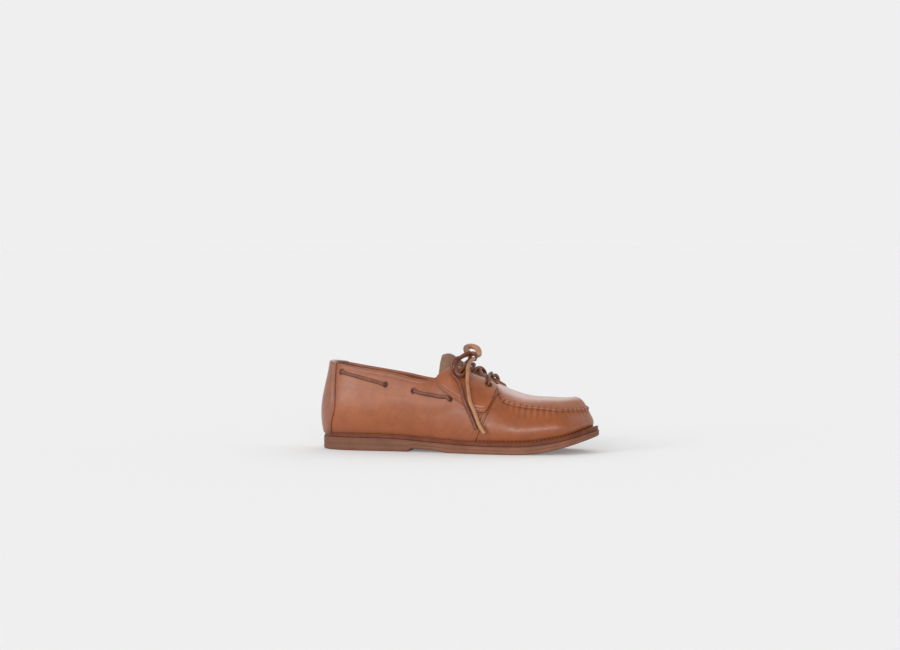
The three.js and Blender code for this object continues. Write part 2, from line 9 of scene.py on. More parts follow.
import bmesh
import bpy
import numpy as np
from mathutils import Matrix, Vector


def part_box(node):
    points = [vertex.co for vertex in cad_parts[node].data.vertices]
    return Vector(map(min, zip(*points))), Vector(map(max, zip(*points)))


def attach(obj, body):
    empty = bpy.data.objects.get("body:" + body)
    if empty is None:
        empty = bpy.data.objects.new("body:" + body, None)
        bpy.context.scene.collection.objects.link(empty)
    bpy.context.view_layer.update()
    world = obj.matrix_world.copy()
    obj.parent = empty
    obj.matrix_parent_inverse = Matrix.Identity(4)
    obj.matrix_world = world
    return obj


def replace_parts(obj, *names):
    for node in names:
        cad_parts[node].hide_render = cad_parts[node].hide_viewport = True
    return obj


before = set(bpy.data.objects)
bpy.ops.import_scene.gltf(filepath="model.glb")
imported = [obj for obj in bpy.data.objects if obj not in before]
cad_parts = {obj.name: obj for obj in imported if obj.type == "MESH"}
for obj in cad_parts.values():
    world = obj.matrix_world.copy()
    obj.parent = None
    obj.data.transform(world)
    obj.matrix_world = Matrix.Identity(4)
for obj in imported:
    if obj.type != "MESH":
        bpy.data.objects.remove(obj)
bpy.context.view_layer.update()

# Sizes of the sole, in millimetres
LENGTH = 290
BALL_WIDTH = 102
HEEL_WIDTH = 70
HEEL_HEIGHT = 18
FORE_HEIGHT = 12.6
TOE_SPRING = 17
MIDSOLE = 4.6
SOLE_STEP = 0.9
WELT = 3.6
HEEL_WELT = 2
TOE_WELT = 6.6
ARCH_LIFT = 3.2
EDGE_ROUND = 1.6
INSOLE = 2.6

# Sizes of the upper
BACK_HEIGHT = 72
INSTEP_HEIGHT = 70
SEAM_HEIGHT = 36.5
APRON_HEIGHT = 45
BULGE = 10
WALL = 2.2
LAP = 1.1
OVERLAY = 1.4
RIDGE = 1.9
TONGUE = 2.4
TONGUE_WIDTH = 50
LACE = 3.6
EYELET_OUTER = 3.8
EYELET_BORE = 2.1
EYELET_RISE = 0.6
KNOT = 3.6
BOW = 10
GAP = 0.3
CROWN_ROUND = 3.2
FACE = LAP + GAP + OVERLAY
STEP = 0.02

# The loop of stations round the shoe, as shares of each zone's sizes
ZONES = {
    "heel": (HEEL_WIDTH / 2, BACK_HEIGHT),
    "instep": (BALL_WIDTH / 2, INSTEP_HEIGHT),
    "toe": (BALL_WIDTH / 2, SEAM_HEIGHT),
}
COLUMNS = ["edge_x", "edge_y", "top_x", "top_y", "top_z", "belly", "shoulder", "drop"]
STATIONS = [
    ("heel", 0.0, 0.0, 0.031, 0.0, 1.0, 0.6, 0.3, 0.36),
    ("heel", 0.035, -0.69, 0.054, -0.5, 0.98, 0.7, 0.4, 0.36),
    ("heel", 0.131, -1.0, 0.138, -0.77, 0.93, 0.8, 0.5, 0.36),
    ("heel", 0.276, -1.04, 0.279, -0.89, 0.86, 0.8, 0.6, 0.36),
    ("heel", 0.421, -1.15, 0.41, -0.91, 0.795, 0.7, 0.9, 0.32),
    ("instep", 0.512, -0.88, 0.493, -0.38, 1.02, 0.7, 1.9, 0.08),
    ("instep", 0.572, -0.95, 0.566, -0.33, 0.92, 0.8, 2.0, 0.06),
    ("instep", 0.628, -0.99, 0.641, -0.3, 0.785, 0.9, 1.9, 0.08),
    ("toe", 0.679, -1.005, 0.684, -0.64, 1.14, 1.0, 0.9, 0.2),
    ("toe", 0.741, -0.99, 0.745, -0.72, 1.0, 1.1, 0.6, 0.38),
    ("toe", 0.836, -0.88, 0.826, -0.68, 0.88, 1.0, 0.6, 0.38),
    ("toe", 0.938, -0.6, 0.905, -0.5, 0.7, 0.8, 0.5, 0.38),
    ("toe", 1.0, 0.09, 0.96, 0.08, 0.57, 0.25, 0.3, 0.4),
    ("toe", 0.956, 0.69, 0.918, 0.55, 0.71, 0.8, 0.5, 0.38),
    ("toe", 0.857, 0.92, 0.842, 0.71, 0.87, 1.0, 0.6, 0.38),
    ("toe", 0.748, 0.97, 0.748, 0.72, 1.0, 1.1, 0.6, 0.38),
    ("toe", 0.679, 0.94, 0.684, 0.64, 1.14, 1.0, 0.9, 0.2),
    ("instep", 0.624, 0.89, 0.641, 0.3, 0.785, 0.9, 1.9, 0.08),
    ("instep", 0.566, 0.81, 0.566, 0.33, 0.92, 0.8, 2.0, 0.06),
    ("instep", 0.505, 0.71, 0.493, 0.38, 1.02, 0.7, 1.9, 0.08),
    ("heel", 0.414, 0.88, 0.41, 0.84, 0.78, 0.7, 0.9, 0.32),
    ("heel", 0.276, 0.9, 0.279, 0.8, 0.83, 0.8, 0.6, 0.36),
    ("heel", 0.131, 0.97, 0.138, 0.73, 0.915, 0.8, 0.5, 0.36),
    ("heel", 0.035, 0.69, 0.054, 0.5, 0.98, 0.7, 0.4, 0.36),
]
COUNT = len(STATIONS)
THROAT_OUTER, TOE, THROAT_INNER = 7, 12, 17
# The apron's crown as shares of length, half the ball's width and the apron's height
CROWN = [(0.641, 0.0, 1.25), (0.686, 0.0, 1.13), (0.745, 0.0, 1.01)]
CROWN += [(0.822, 0.01, 0.935), (0.876, 0.03, 0.875), (0.907, 0.06, 0.85)]
# The tongue: place along, height, width and fall of its sides
TONGUE_ROWS = [(0.69, 0.58, 0.68, 0.1), (0.664, 0.66, 0.7, 0.15), (0.641, 0.73, 0.74, 0.24)]
TONGUE_ROWS += [(0.605, 0.91, 0.76, 0.44), (0.562, 0.99, 0.78, 0.5), (0.51, 1.1, 0.82, 0.54)]
TONGUE_ROWS += [(0.468, 1.2, 0.8, 0.57), (0.438, 1.18, 0.66, 0.38)]

# Side outlines, as shares of the length and of the instep's height above the floor
QUARTER_FRONT = [(0.664, 1.7), (0.661, 0.95), (0.657, 0.81), (0.642, 0.63), (0.624, 0.42)]
QUARTER_FRONT += [(0.6, 0.22), (0.585, 0.0)]
FACING_FRONT = [(0.655, 0.95), (0.651, 0.81), (0.638, 0.66)]
FACING_FOOT = [(0.625, 0.61), (0.588, 0.63), (0.547, 0.72), (0.5, 0.83), (0.463, 0.93), (0.441, 1.03)]
STRAP_FRONT = [(0.062, 1.7), (0.062, 1.15), (0.067, 0.65), (0.05, 0.35), (0.05, 0.0)]

# Places of the lace: on the wall as (round the loop, up the wall), and on the tongue as (along, across)
COLLAR_REAR = [(1.52, 0.91), (2.15, 0.875), (2.86, 0.81)]
COLLAR_FRONT = [(3.62, 0.8), (4.1, 0.722), (4.6, 0.545), (5.05, 0.455)]
EYELETS = {"upper": (5.42, 0.84), "lower": (6.75, 0.87)}
REAR_END = [(5.1, 0.83), (5.21, 0.74), (5.46, 0.68), (5.68, 0.58)]
REAR_END += [(5.84, 0.48), (6.12, 0.36), (6.38, 0.26), (6.61, 0.17)]
FRONT_END = [(5.88, 0.73), (6.03, 0.59), (6.19, 0.46), (6.45, 0.36), (6.81, 0.22), (7.19, 0.14)]
LOWER_BAR = [(0.43, -0.36), (0.425, 0), (0.43, 0.36)]
UPPER_BAR = [(0.69, -0.36), (0.675, 0), (0.69, 0.36)]
LOWER_BEND, UPPER_BEND = (6.6, 0.985), (5.47, 0.985)
CROSS = [(0.495, -0.55), (0.52, -0.28), (0.55, 0), (0.58, 0.28), (0.605, 0.55)]
KNOT_PLACE = (0.655, -0.03)

# Routes of the bow, from the knot's middle in units of BOW
UPPER_LOOP = [(-0.21, 0.48, 0.12), (-0.87, 0.9, 0.46), (-1.02, 1.5, 0.83), (-0.67, 1.95, 0.96)]
UPPER_LOOP += [(-0.04, 1.85, 0.76), (0.32, 1.25, 0.19), (0.21, 0.48, 0.0)]
OUTER_LOOP = [(-0.21, -0.6, 0.23), (-0.78, -1.2, 0.02), (-1.21, -1.88, -0.39), (-1.13, -2.8, -1.09)]
OUTER_LOOP += [(-0.88, -3.41, -1.57), (-0.58, -3.38, -1.78), (-0.27, -2.93, -1.73)]
OUTER_LOOP += [(-0.03, -1.82, -1.08), (-0.2, -1.24, -0.52), (-0.22, -0.63, -0.22)]
REAR_START = [(0.21, -0.62, 0.21), (-0.2, -1.35, 0.45), (-0.85, -2.0, 0.02)]
REAR_START += [(-1.35, -2.58, -0.2), (-1.62, -2.8, -0.73)]
FRONT_START = [(0.22, -0.62, -0.22), (0.14, -1.35, -0.36), (0.07, -2.45, -0.9), (0.14, -2.96, -1.64)]


def smooth(values, u, closed=False):
    """Smooth values through evenly spaced ones, at places u among them."""
    values, u = np.asarray(values, float), np.asarray(u, float)
    n = len(values)
    if closed:
        whole = np.floor(u).astype(int)
        at = lambda k: values[k % n]
    else:
        whole = np.floor(np.clip(u, 0, n - 1 - 1e-9)).astype(int)
        more = np.concatenate([[2 * values[0] - values[1]], values, [2 * values[-1] - values[-2]]])
        at = lambda k: more[k + 1]
    f = u - whole
    a, b, c, d = at(whole - 1), at(whole), at(whole + 1), at(whole + 2)
    if values.ndim > 1:
        f = f[..., None]
    return b + 0.5 * f * (c - a + f * (2 * a - 5 * b + 4 * c - d + f * (3 * (b - c) + d - a)))


def ramp(x, low, high):
    t = np.clip((x - low) / (high - low), 0, 1)
    return t * t * (3 - 2 * t)


def stack(*parts):
    return np.stack(np.broadcast_arrays(*parts), -1)


def unit(v):
    return v / np.maximum(np.linalg.norm(v, axis=-1, keepdims=True), 1e-12)


def lifted(p, by):
    """Points moved straight up."""
    return p + stack(0.0, 0.0, by)


def under(x):
    share = np.clip((x / LENGTH - 0.74) / 0.26, 0, 1.1)
    return TOE_SPRING * share**1.9


def seat(x):
    pitch = 1 - ramp(x / LENGTH, 0.2, 0.63)
    thin = 1 - 0.14 * ramp(x / LENGTH, 0.8, 1)
    return FORE_HEIGHT * thin + (HEEL_HEIGHT - FORE_HEIGHT) * pitch + under(x)


def column_values(k, name):
    rows = []
    for row in STATIONS:
        half, height = ZONES[row[0]]
        size = {"x": LENGTH, "y": half, "z": height}.get(name[-1] if "_" in name else "", 1)
        rows.append(row[k + 1] * size)
    return np.array(rows)


TABLE = {name: column_values(k, name) for k, name in enumerate(COLUMNS)}


def column(name, s):
    return smooth(TABLE[name], s, True)


def edge(s):
    return stack(column("edge_x", s), column("edge_y", s), 0.0)


def outward(s):
    run = edge(s + STEP) - edge(s - STEP)
    return unit(stack(run[..., 1], -run[..., 0], 0.0))


def inset(s, by):
    return edge(s) - outward(s) * np.asarray(by, float)[..., None]


def foot(s):
    back = 1 - ramp(column("edge_x", s) / LENGTH, 0.02, 0.16)
    front = ramp(column("edge_x", s) / LENGTH, 0.9, 1)
    by = WELT + (HEEL_WELT - WELT) * back
    p = inset(s, by + (TOE_WELT - by) * front)
    p[..., 2] = seat(p[..., 0]) + GAP
    return p


def top(s):
    x = column("top_x", s)
    return stack(x, column("top_y", s), seat(x) + column("top_z", s))


def wall(s, t):
    s, t = np.broadcast_arrays(s, t)
    low, high, out = foot(s), top(s), outward(s)
    rise = high[..., 2] - low[..., 2]
    belly = lifted(low + out * (column("belly", s) * BULGE)[..., None], 0.42 * rise)
    shoulder = lifted(high + out * (column("shoulder", s) * BULGE)[..., None], -column("drop", s) * rise)
    t = t[..., None]
    return (1 - t) ** 3 * low + 3 * (1 - t) ** 2 * t * belly + 3 * (1 - t) * t * t * shoulder + t**3 * high


def apron(s, r):
    s, r = np.broadcast_arrays(s, r)
    rim = top(s)
    along = (1 - np.abs(s - TOE) / (TOE - THROAT_OUTER)) * (len(CROWN) - 1)
    x, y, z = np.moveaxis(smooth(np.array(CROWN), along), -1, 0)
    crown = stack(x * LENGTH, y * BALL_WIDTH / 2, seat(x * LENGTH) + z * APRON_HEIGHT)
    p = rim + (crown - rim) * r[..., None]
    p[..., 2] = rim[..., 2] + (crown[..., 2] - rim[..., 2]) * (1 - np.clip(1 - r, 0, 1) ** CROWN_ROUND)
    return p


def tongue(a, b):
    a, b = np.broadcast_arrays(a, b)
    x, z, width, fall = np.moveaxis(smooth(np.array(TONGUE_ROWS), a * (len(TONGUE_ROWS) - 1)), -1, 0)
    y = b * width * TONGUE_WIDTH / 2
    return stack(x * LENGTH, y, seat(x * LENGTH) + z * INSTEP_HEIGHT - fall * TONGUE_WIDTH * b * b)


def normal(surface, u, v, turn=1):
    du = surface(u + STEP, v) - surface(u - STEP, v)
    dv = surface(u, v + STEP) - surface(u, v - STEP)
    return turn * unit(np.cross(du, dv))


def offset(surface, u, v, by, turn=1):
    u, v = np.broadcast_arrays(u, v)
    return surface(u, v) + normal(surface, u, v, turn) * np.asarray(by, float)[..., None]


# From the shoe's own millimetres to the frame's metres
low_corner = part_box("outsole")[0]
outline_low = edge(np.arange(0, COUNT, 1 / 3))[:, 1].min()
SHIFT = np.array([low_corner.x * 1000, low_corner.y * 1000 - outline_low, 0.0])


def placed(points):
    return (np.asarray(points, float).reshape(-1, 3) + SHIFT) / 1000


def new_object(name, data):
    thing = bpy.data.objects.new(name, data)
    bpy.context.scene.collection.objects.link(thing)
    return thing


def new_piece(name, points, faces, material, slot, sharp=50, tint=None):
    """A mesh object in the frame's metres, its faces turned outwards."""
    mesh = bpy.data.meshes.new(name)
    mesh.from_pydata(placed(points).tolist(), [], faces)
    if tint is not None:
        values = np.asarray(tint, np.float32).ravel()
        mesh.attributes.new("tint", "FLOAT", "POINT").data.foreach_set("value", values)
    form = bmesh.new()
    form.from_mesh(mesh)
    bmesh.ops.remove_doubles(form, verts=form.verts, dist=1e-6)
    bmesh.ops.dissolve_degenerate(form, edges=form.edges, dist=1e-6)
    bmesh.ops.recalc_face_normals(form, faces=form.faces)
    form.to_mesh(mesh)
    form.free()
    mesh.shade_smooth()
    mesh.set_sharp_from_angle(angle=math.radians(sharp))
    mesh.materials.append(material)
    piece = new_object(name, mesh)
    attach(piece, "root")
    return piece


def grid_faces(rows, cols, start=0):
    starts = range(start, start + (rows - 1) * cols, cols)
    return [(i + j, i + j + 1, i + cols + j + 1, i + cols + j) for i in starts for j in range(cols - 1)]


def tube_faces(rings, n, closed=False, capped=False):
    """Faces between rings of n points in turn."""
    faces = []
    for i in range(rings if closed else rings - 1):
        here, after = i * n, (i + 1) % rings * n
        faces += [(here + j, here + (j + 1) % n, after + (j + 1) % n, after + j) for j in range(n)]
    if capped:
        faces += [tuple(range(n))[::-1], tuple((rings - 1) * n + j for j in range(n))]
    return faces


def plate(face, back, folded=False):
    """A closed plate between two grids, as points and faces.

    A folded one meets itself at its last column, and has no side there.
    """
    rows, cols = face.shape[:2]
    n = rows * cols
    points = np.concatenate([face.reshape(-1, 3), back.reshape(-1, 3)])
    faces = grid_faces(rows, cols) + grid_faces(rows, cols, n)
    ring = [*range(cols), *range(2 * cols - 1, n, cols)]
    ring += [*range(n - 2, n - cols - 1, -1), *range(n - 2 * cols, 0, -cols)]
    for a, b in zip(ring, ring[1:] + ring[:1]):
        if not (folded and a % cols == b % cols == cols - 1):
            faces.append((a, b, b + n, a + n))
    return points, faces


def ring_body(loops):
    """Points and faces of a closed ring whose section runs through the loops in turn."""
    return np.concatenate(loops), tube_faces(len(loops), len(loops[0]), closed=True)


def layer(rings):
    """A layer of the sole from its rings, lowest first, closed by strips across it."""
    n = len(rings[0])
    faces = tube_faces(len(rings), n)
    for first in (0, (len(rings) - 1) * n):
        faces += [(first + i, first + (n - i) % n, first + n - i - 1, first + i + 1) for i in range(n // 2)]
    return np.concatenate(rings), faces


def arc_lengths(line):
    return np.concatenate([[0], np.cumsum(np.linalg.norm(np.diff(line, axis=0), axis=1))])


def points_at(line, length, places):
    """Points at distances along a line."""
    return np.stack([np.interp(places, length, line[:, k]) for k in range(3)], 1)


def path_points(points, gap=0.6):
    """Evenly spaced points along a centripetal spline through the given ones."""
    p = np.asarray(points, float)
    p = np.vstack([2 * p[0] - p[1], p, 2 * p[-1] - p[-2]])
    out = []
    for k in range(1, len(p) - 2):
        knots = np.cumsum([0, *(np.sqrt(np.linalg.norm(np.diff(p[k - 1 : k + 3], axis=0), axis=1)))])
        t = np.linspace(knots[1], knots[2], 24, endpoint=k == len(p) - 3)[:, None]

        def between(i, j, one, other):
            span = knots[j] - knots[i]
            return (knots[j] - t) / span * one + (t - knots[i]) / span * other

        a = [between(i, i + 1, p[k - 1 + i], p[k + i]) for i in range(3)]
        b = [between(i, i + 2, a[i], a[i + 1]) for i in range(2)]
        out.append(between(1, 2, *b))
    out = np.vstack(out)
    length = arc_lengths(out)
    places = np.linspace(0, length[-1], max(4, round(length[-1] / gap)))
    return points_at(out, length, places), length[-1]


def strip_mesh(line, first_up, widths, thick, twist=0.0, round_by=0.45, corners=3):
    """Points and faces of a lace with a rounded, flattened section along a line."""
    tangents = unit(np.gradient(line, axis=0))
    side = unit(np.cross(tangents[0], first_up))
    section = []
    for k, (cx, cz) in enumerate([(1, 1), (-1, 1), (-1, -1), (1, -1)]):
        r = round_by * thick
        for f in range(corners + 1):
            a = math.pi / 2 * (k + f / corners)
            section.append((cx * 0.5, r * (math.cos(a) - cx), cz * (thick / 2 - r) + r * math.sin(a)))
    section = np.array(section)
    widths = np.broadcast_to(widths, len(line))
    m, n = len(section), len(line)
    points = []
    for i, tangent in enumerate(tangents):
        side = unit(side - tangent * side.dot(tangent))
        lift = np.cross(side, tangent)
        a = twist * i / (n - 1)
        u, v = side * math.cos(a) + lift * math.sin(a), lift * math.cos(a) - side * math.sin(a)
        points.append(line[i] + (section[:, :1] * widths[i] + section[:, 1:2]) * u + section[:, 2:] * v)
    return np.concatenate(points), tube_faces(n, m, capped=True)


def joined(parts):
    """Several (points, faces) as one."""
    points, faces, n = [], [], 0
    for p, f in parts:
        points.append(np.asarray(p).reshape(-1, 3))
        faces += [tuple(n + k for k in face) for face in f]
        n += len(points[-1])
    return np.concatenate(points), faces


# One stitch: rings along it with their sizes, as shares of its half length and radius
STITCH_RINGS = [(-1.0, 0.3), (-0.85, 0.75), (-0.45, 1.0), (0.45, 1.0), (0.85, 0.75), (1.0, 0.3)]
STITCH_SIDES = 6
STITCH_SINK = 0.1


def stitches(line, ups, pitch=2.6, share=0.72, radius=0.33):
    """A row of short stitches lying on a line of points, with the surface's normals."""
    length = arc_lengths(line)
    count = max(1, int(length[-1] / pitch))
    middles = (np.arange(count) + 0.5) * length[-1] / count
    half = pitch * share / 2
    ends, starts = (points_at(line, length, middles + d) for d in (half, -half))
    up = unit(points_at(ups, length, middles))
    ahead = unit(ends - starts)
    side = unit(np.cross(ahead, up))
    angles = np.arange(STITCH_SIDES) * 2 * math.pi / STITCH_SIDES
    shape = []
    for along, size in STITCH_RINGS:
        for a in angles:
            shape.append((along, size * math.cos(a), size * math.sin(a) * 0.8 - (abs(along) ** 3) * 0.9))
    shape = np.array(shape)
    middle = (starts + ends) / 2 + up * (radius * 0.8 - STITCH_SINK)
    points = middle[:, None] + (shape * [half, radius, radius]) @ np.stack([ahead, side, up], 1)
    one = tube_faces(len(STITCH_RINGS), STITCH_SIDES, capped=True)
    return joined([(p, one) for p in points])


# Materials


def linear(r, g, b):
    """A colour given in ordinary 0 to 255 values, as the shaders take it."""
    return tuple(((v / 255 + 0.055) / 1.055) ** 2.4 if v > 10 else v / 3294.6 for v in (r, g, b)) + (1.0,)


class Nodes:
    """Adds nodes to a tree."""

    def __init__(self, tree):
        self.tree = tree

    def add(self, kind, **values):
        node = self.tree.nodes.new(kind)
        for key, value in values.items():
            if hasattr(node, key):
                setattr(node, key, value)
            else:
                node.inputs[key].default_value = value
        return node

    def link(self, source, node, socket):
        self.tree.links.new(source, node.inputs[socket])

    def steps(self, fac, low, high, to_low=0.0, to_high=1.0, kind="LINEAR"):
        node = self.add("ShaderNodeMapRange", interpolation_type=kind)
        for key, value in zip(("From Min", "From Max", "To Min", "To Max"), (low, high, to_low, to_high)):
            node.inputs[key].default_value = value
        self.link(fac, node, "Value")
        return node.outputs["Result"]

    def sum(self, one, other, share=1.0):
        node = self.add("ShaderNodeMath", operation="MULTIPLY_ADD")
        self.link(other, node, 0)
        node.inputs[1].default_value = share
        self.link(one, node, 2)
        return node.outputs[0]


class Shader(Nodes):
    """Builds one material's nodes."""

    def __init__(self, name, roughness=0.5, **sockets):
        self.material = bpy.data.materials.new(name)
        self.material.use_nodes = True
        super().__init__(self.material.node_tree)
        self.shader = self.tree.nodes["Principled BSDF"]
        self.shader.inputs["Roughness"].default_value = roughness
        for socket, value in sockets.items():
            self.shader.inputs[socket.replace("_", " ")].default_value = value
        self.place = self.add("ShaderNodeTexCoord").outputs["Object"]

    def noise(self, scale, detail=3.0, rough=0.55):
        node = self.add("ShaderNodeTexNoise", Scale=scale, Detail=detail, Roughness=rough)
        self.link(self.place, node, "Vector")
        return node.outputs["Fac"]

    def cells(self, scale):
        node = self.add("ShaderNodeTexVoronoi", Scale=scale, feature="SMOOTH_F1")
        self.link(self.place, node, "Vector")
        return node.outputs["Distance"]

    def tint(self):
        return self.add("ShaderNodeAttribute", attribute_name="tint").outputs["Fac"]

    def mix(self, fac, one, other):
        node = self.add("ShaderNodeMix", data_type="RGBA")
        self.link(fac, node, 0)
        for socket, value in ((6, one), (7, other)):
            if isinstance(value, tuple):
                node.inputs[socket].default_value = value
            else:
                self.link(value, node, socket)
        return node.outputs[2]

    def finish(self, color, roughness=None, height=None, strength=0.3, distance=0.0004):
        self.link(color, self.shader, "Base Color")
        if roughness is not None:
            self.link(roughness, self.shader, "Roughness")
        if height is not None:
            bump = self.add("ShaderNodeBump", Strength=strength, Distance=distance)
            self.link(height, bump, "Height")
            self.link(bump.outputs["Normal"], self.shader, "Normal")
        return self.material


def leather(name, light, dark, deep, roughness=(0.36, 0.48), grain=0.28):
    """Smooth aniline leather: cloudy colour, fine pores, and darker where tint says; on the panels that is
    painted shade.
    """
    s = Shader(name, Coat_Weight=0.25, Coat_Roughness=0.36)
    cloud = s.steps(s.noise(34, 4, 0.6), 0.34, 0.66)
    patches = s.steps(s.noise(150, 3, 0.6), 0.35, 0.7)
    pores = s.cells(1150)
    color = s.mix(cloud, linear(*light), linear(*dark))
    color = s.mix(s.steps(patches, 0, 1, 0, 0.22), color, linear(*deep))
    color = s.mix(s.steps(pores, 0.35, 0.75, 0, 0.16), color, linear(*deep))
    # painted shade: the tint darkens the panels at joints, under the apron's seam and inside the collar
    color = s.mix(s.tint(), color, linear(*deep))
    rough = s.steps(s.noise(260, 3, 0.6), 0.3, 0.7, *roughness)
    height = s.sum(s.noise(420, 4, 0.6), pores, -0.5)
    return s.finish(color, rough, height, grain, 0.00035)


TAN = leather("tan_leather", (150, 79, 34), (136, 69, 29), (74, 34, 14))
# The apron's tan leather made lighter and greyer: a painted sheen on the toe's top
APRON_TAN_PAINTED_SHEEN = leather("apron_leather_painted_sheen", (156, 92, 56), (141, 80, 48), (78, 37, 19), (0.32, 0.44))
STRAP_TAN = leather("strap_leather", (144, 86, 58), (129, 74, 49), (72, 35, 20))


def plain(name, light, dark, scale, roughness, grain, fine=900, gloss=0.5):
    s = Shader(name, roughness, Specular_IOR_Level=gloss)
    color = s.mix(s.steps(s.noise(scale, 4), 0.32, 0.68), linear(*light), linear(*dark))
    color = s.mix(s.tint(), color, linear(*(v * 0.45 for v in dark)))
    height = s.sum(s.noise(fine, 3), s.noise(fine / 4, 3), 0.8)
    return s.finish(color, None, height, grain, 0.0003)


RUBBER = plain("rubber_sole", (130, 86, 66), (114, 74, 55), 60, 0.62, 0.25, gloss=0.25)
WELT_LEATHER = plain("welt_leather", (108, 52, 27), (86, 39, 18), 120, 0.5, 0.3, gloss=0.3)
LINING = plain("lining_leather", (131, 99, 76), (113, 83, 63), 50, 0.7, 0.3)
THREAD = plain("stitching_thread", (146, 94, 62), (126, 76, 48), 300, 0.6, 0.3, 2500)
SEAM_THREAD = plain("seam_thread", (136, 80, 48), (116, 64, 38), 300, 0.6, 0.3, 2500)
RAWHIDE = plain("rawhide_lace", (118, 62, 35), (88, 42, 22), 90, 0.45, 0.4, 700)
# A paler copy of the rawhide for the upper loop and the front end: painted light on strands the lamps fall
# on, with the lace's paler flesh side
RAWHIDE_PAINTED_LIGHT = plain("rawhide_painted_light", (168, 118, 82), (144, 94, 62), 90, 0.45, 0.4, 700)
# Near-black painted shadow for the inside of the slots that the lace dives into
SLOT_SHADOW = plain("painted_slot_shadow", (40, 22, 15), (28, 15, 10), 200, 0.8, 0.2)


def bronze():
    s = Shader("aged_bronze", 0.4, Metallic=1.0)
    color = s.mix(s.steps(s.noise(500, 3), 0.35, 0.65), linear(104, 78, 54), linear(66, 48, 34))
    rough = s.steps(s.noise(700, 3), 0.3, 0.7, 0.32, 0.5)
    return s.finish(color, rough)


BRONZE = bronze()

# The camera, at the photograph's angle
AZIMUTH, ELEVATION, FAR = math.radians(14.0), math.radians(1.9), 2.5
TARGET = np.array([-0.00864, 0.0, 0.1293])
level = math.cos(ELEVATION)
toward = np.array([math.sin(AZIMUTH) * level, -math.cos(AZIMUTH) * level, math.sin(ELEVATION)])
camera_data = bpy.data.cameras.new("camera")
camera_data.lens = 96.63
camera_data.sensor_width = 36
camera = new_object("camera", camera_data)
camera.location = TARGET + toward * FAR
camera.rotation_euler = (math.pi / 2 - ELEVATION, 0, AZIMUTH)
bpy.context.scene.camera = camera

# The lace: where it lies, and the bow's free cords
LACE_SIZE = LACE_WIDTH, LACE_THICK = 4.0, 3.1
LACE_LIFT = GAP + LACE / 2
BAR_LIFT = TONGUE / 2 + 6 * GAP + LACE / 2
UP = np.array([0.0, 0.0, 1.0])


def other_side(route):
    return [(COUNT - s, t) for s, t in route]


def on_wall(route, lift):
    s, t = np.array(route, float).T
    return offset(wall, s, t, lift)


def on_tongue(route, lift):
    a, b = np.array(route, float).T
    return offset(tongue, a, b, lift, -1)


knot_middle = on_tongue([KNOT_PLACE], BAR_LIFT + LACE - GAP + KNOT)[0]


def from_knot(route):
    return knot_middle + np.array(route, float) * BOW


def lace_cord(name, route, up, twist, material=RAWHIDE, painted_shade_until=0.0, size=LACE_SIZE, swell=0.0):
    """One free stretch of the bow."""
    line, length = path_points(route)
    widths = size[0] + swell * (np.sin(np.linspace(0, math.pi, len(line))) ** 0.6 - 0.5)
    points, faces = strip_mesh(line, np.array(up, float), widths, size[1], twist)
    # painted shade over the stretch's first part, up to the given share of its length
    dark = 1 - ramp(np.linspace(0, 1, len(line)), painted_shade_until - 0.08, painted_shade_until)
    dark = np.repeat(dark, len(points) // len(line))
    piece = new_piece(name + "_lace", points, faces, material, "rawhide", tint=0.5 * dark)
    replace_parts(piece, name)
    placed(line[0])[0]
    placed(line)


turns = np.linspace(-0.22, 1.1, 41)
angle = 2 * math.pi * turns
knot_route = knot_middle + stack(KNOT * np.sin(angle), 1.12 * LACE * (turns - 0.425), -KNOT * np.cos(angle))
first_out = knot_route[0] - knot_middle
loop_run = np.diff(np.array(UPPER_LOOP), axis=0)
LOOP_UP = unit(np.cross(loop_run[1], loop_run[3]))
lace_cord("bow_knot", knot_route, first_out, 0.0)
loop = from_knot(UPPER_LOOP)
lace_cord("bow_loop_upper", loop, LOOP_UP, 0.0, RAWHIDE_PAINTED_LIGHT, 0.45, (5.6, 3.9), 2.6)
lace_cord("bow_loop_outer", from_knot(OUTER_LOOP), (0.2, -0.4, 1), -0.6)
hang = FACE + GAP + LACE_LIFT
rear = [*from_knot(REAR_START), *on_wall(REAR_END, hang)]
front = [*from_knot(FRONT_START), *on_wall(FRONT_END, hang)]
lace_cord("bow_end_rear", rear, (-0.5, -0.4, 1), 0.3)
lace_cord("bow_end_front", front, (0.5, -0.4, 1), -0.3, RAWHIDE_PAINTED_LIGHT)


def bar(name, place, bend, middle):
    """Lace between the mouths of two eyelets, over the tongue."""
    lifts = [(place, -1.5), (place, FACE + EYELET_RISE + 0.6), (bend, FACE + 3 * GAP + LACE_LIFT)]
    one = [on_wall([spot], lift)[0] for spot, lift in lifts]
    other = [on_wall(other_side([spot]), lift)[0] for spot, lift in lifts]
    line, _ = path_points([*one, *on_tongue(middle, BAR_LIFT), *other[::-1]])
    form = strip_mesh(line, np.array([1.0, -0.3, 0.4]), *LACE_SIZE)
    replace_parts(new_piece(name + "_lace", *form, RAWHIDE, "rawhide"), name)


bar("lace_bar_lower", EYELETS["lower"], LOWER_BEND, LOWER_BAR)
bar("lace_bar_upper", EYELETS["upper"], UPPER_BEND, UPPER_BAR)

mirrored = [(a, -b) for a, b in CROSS]
crossing = []
for route, lift in ((CROSS, 0.0), (mirrored, 1.2)):
    ends = on_tongue(route, TONGUE / 2 + GAP + LACE_LIFT)
    ends[1:-1] += lift * normal(tongue, *np.array(route[1:-1]).T, -1)
    crossing.append(strip_mesh(path_points(ends)[0], UP, *LACE_SIZE))
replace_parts(new_piece("lace_cross_lace", *joined(crossing), RAWHIDE, "rawhide"), "lace_cross")


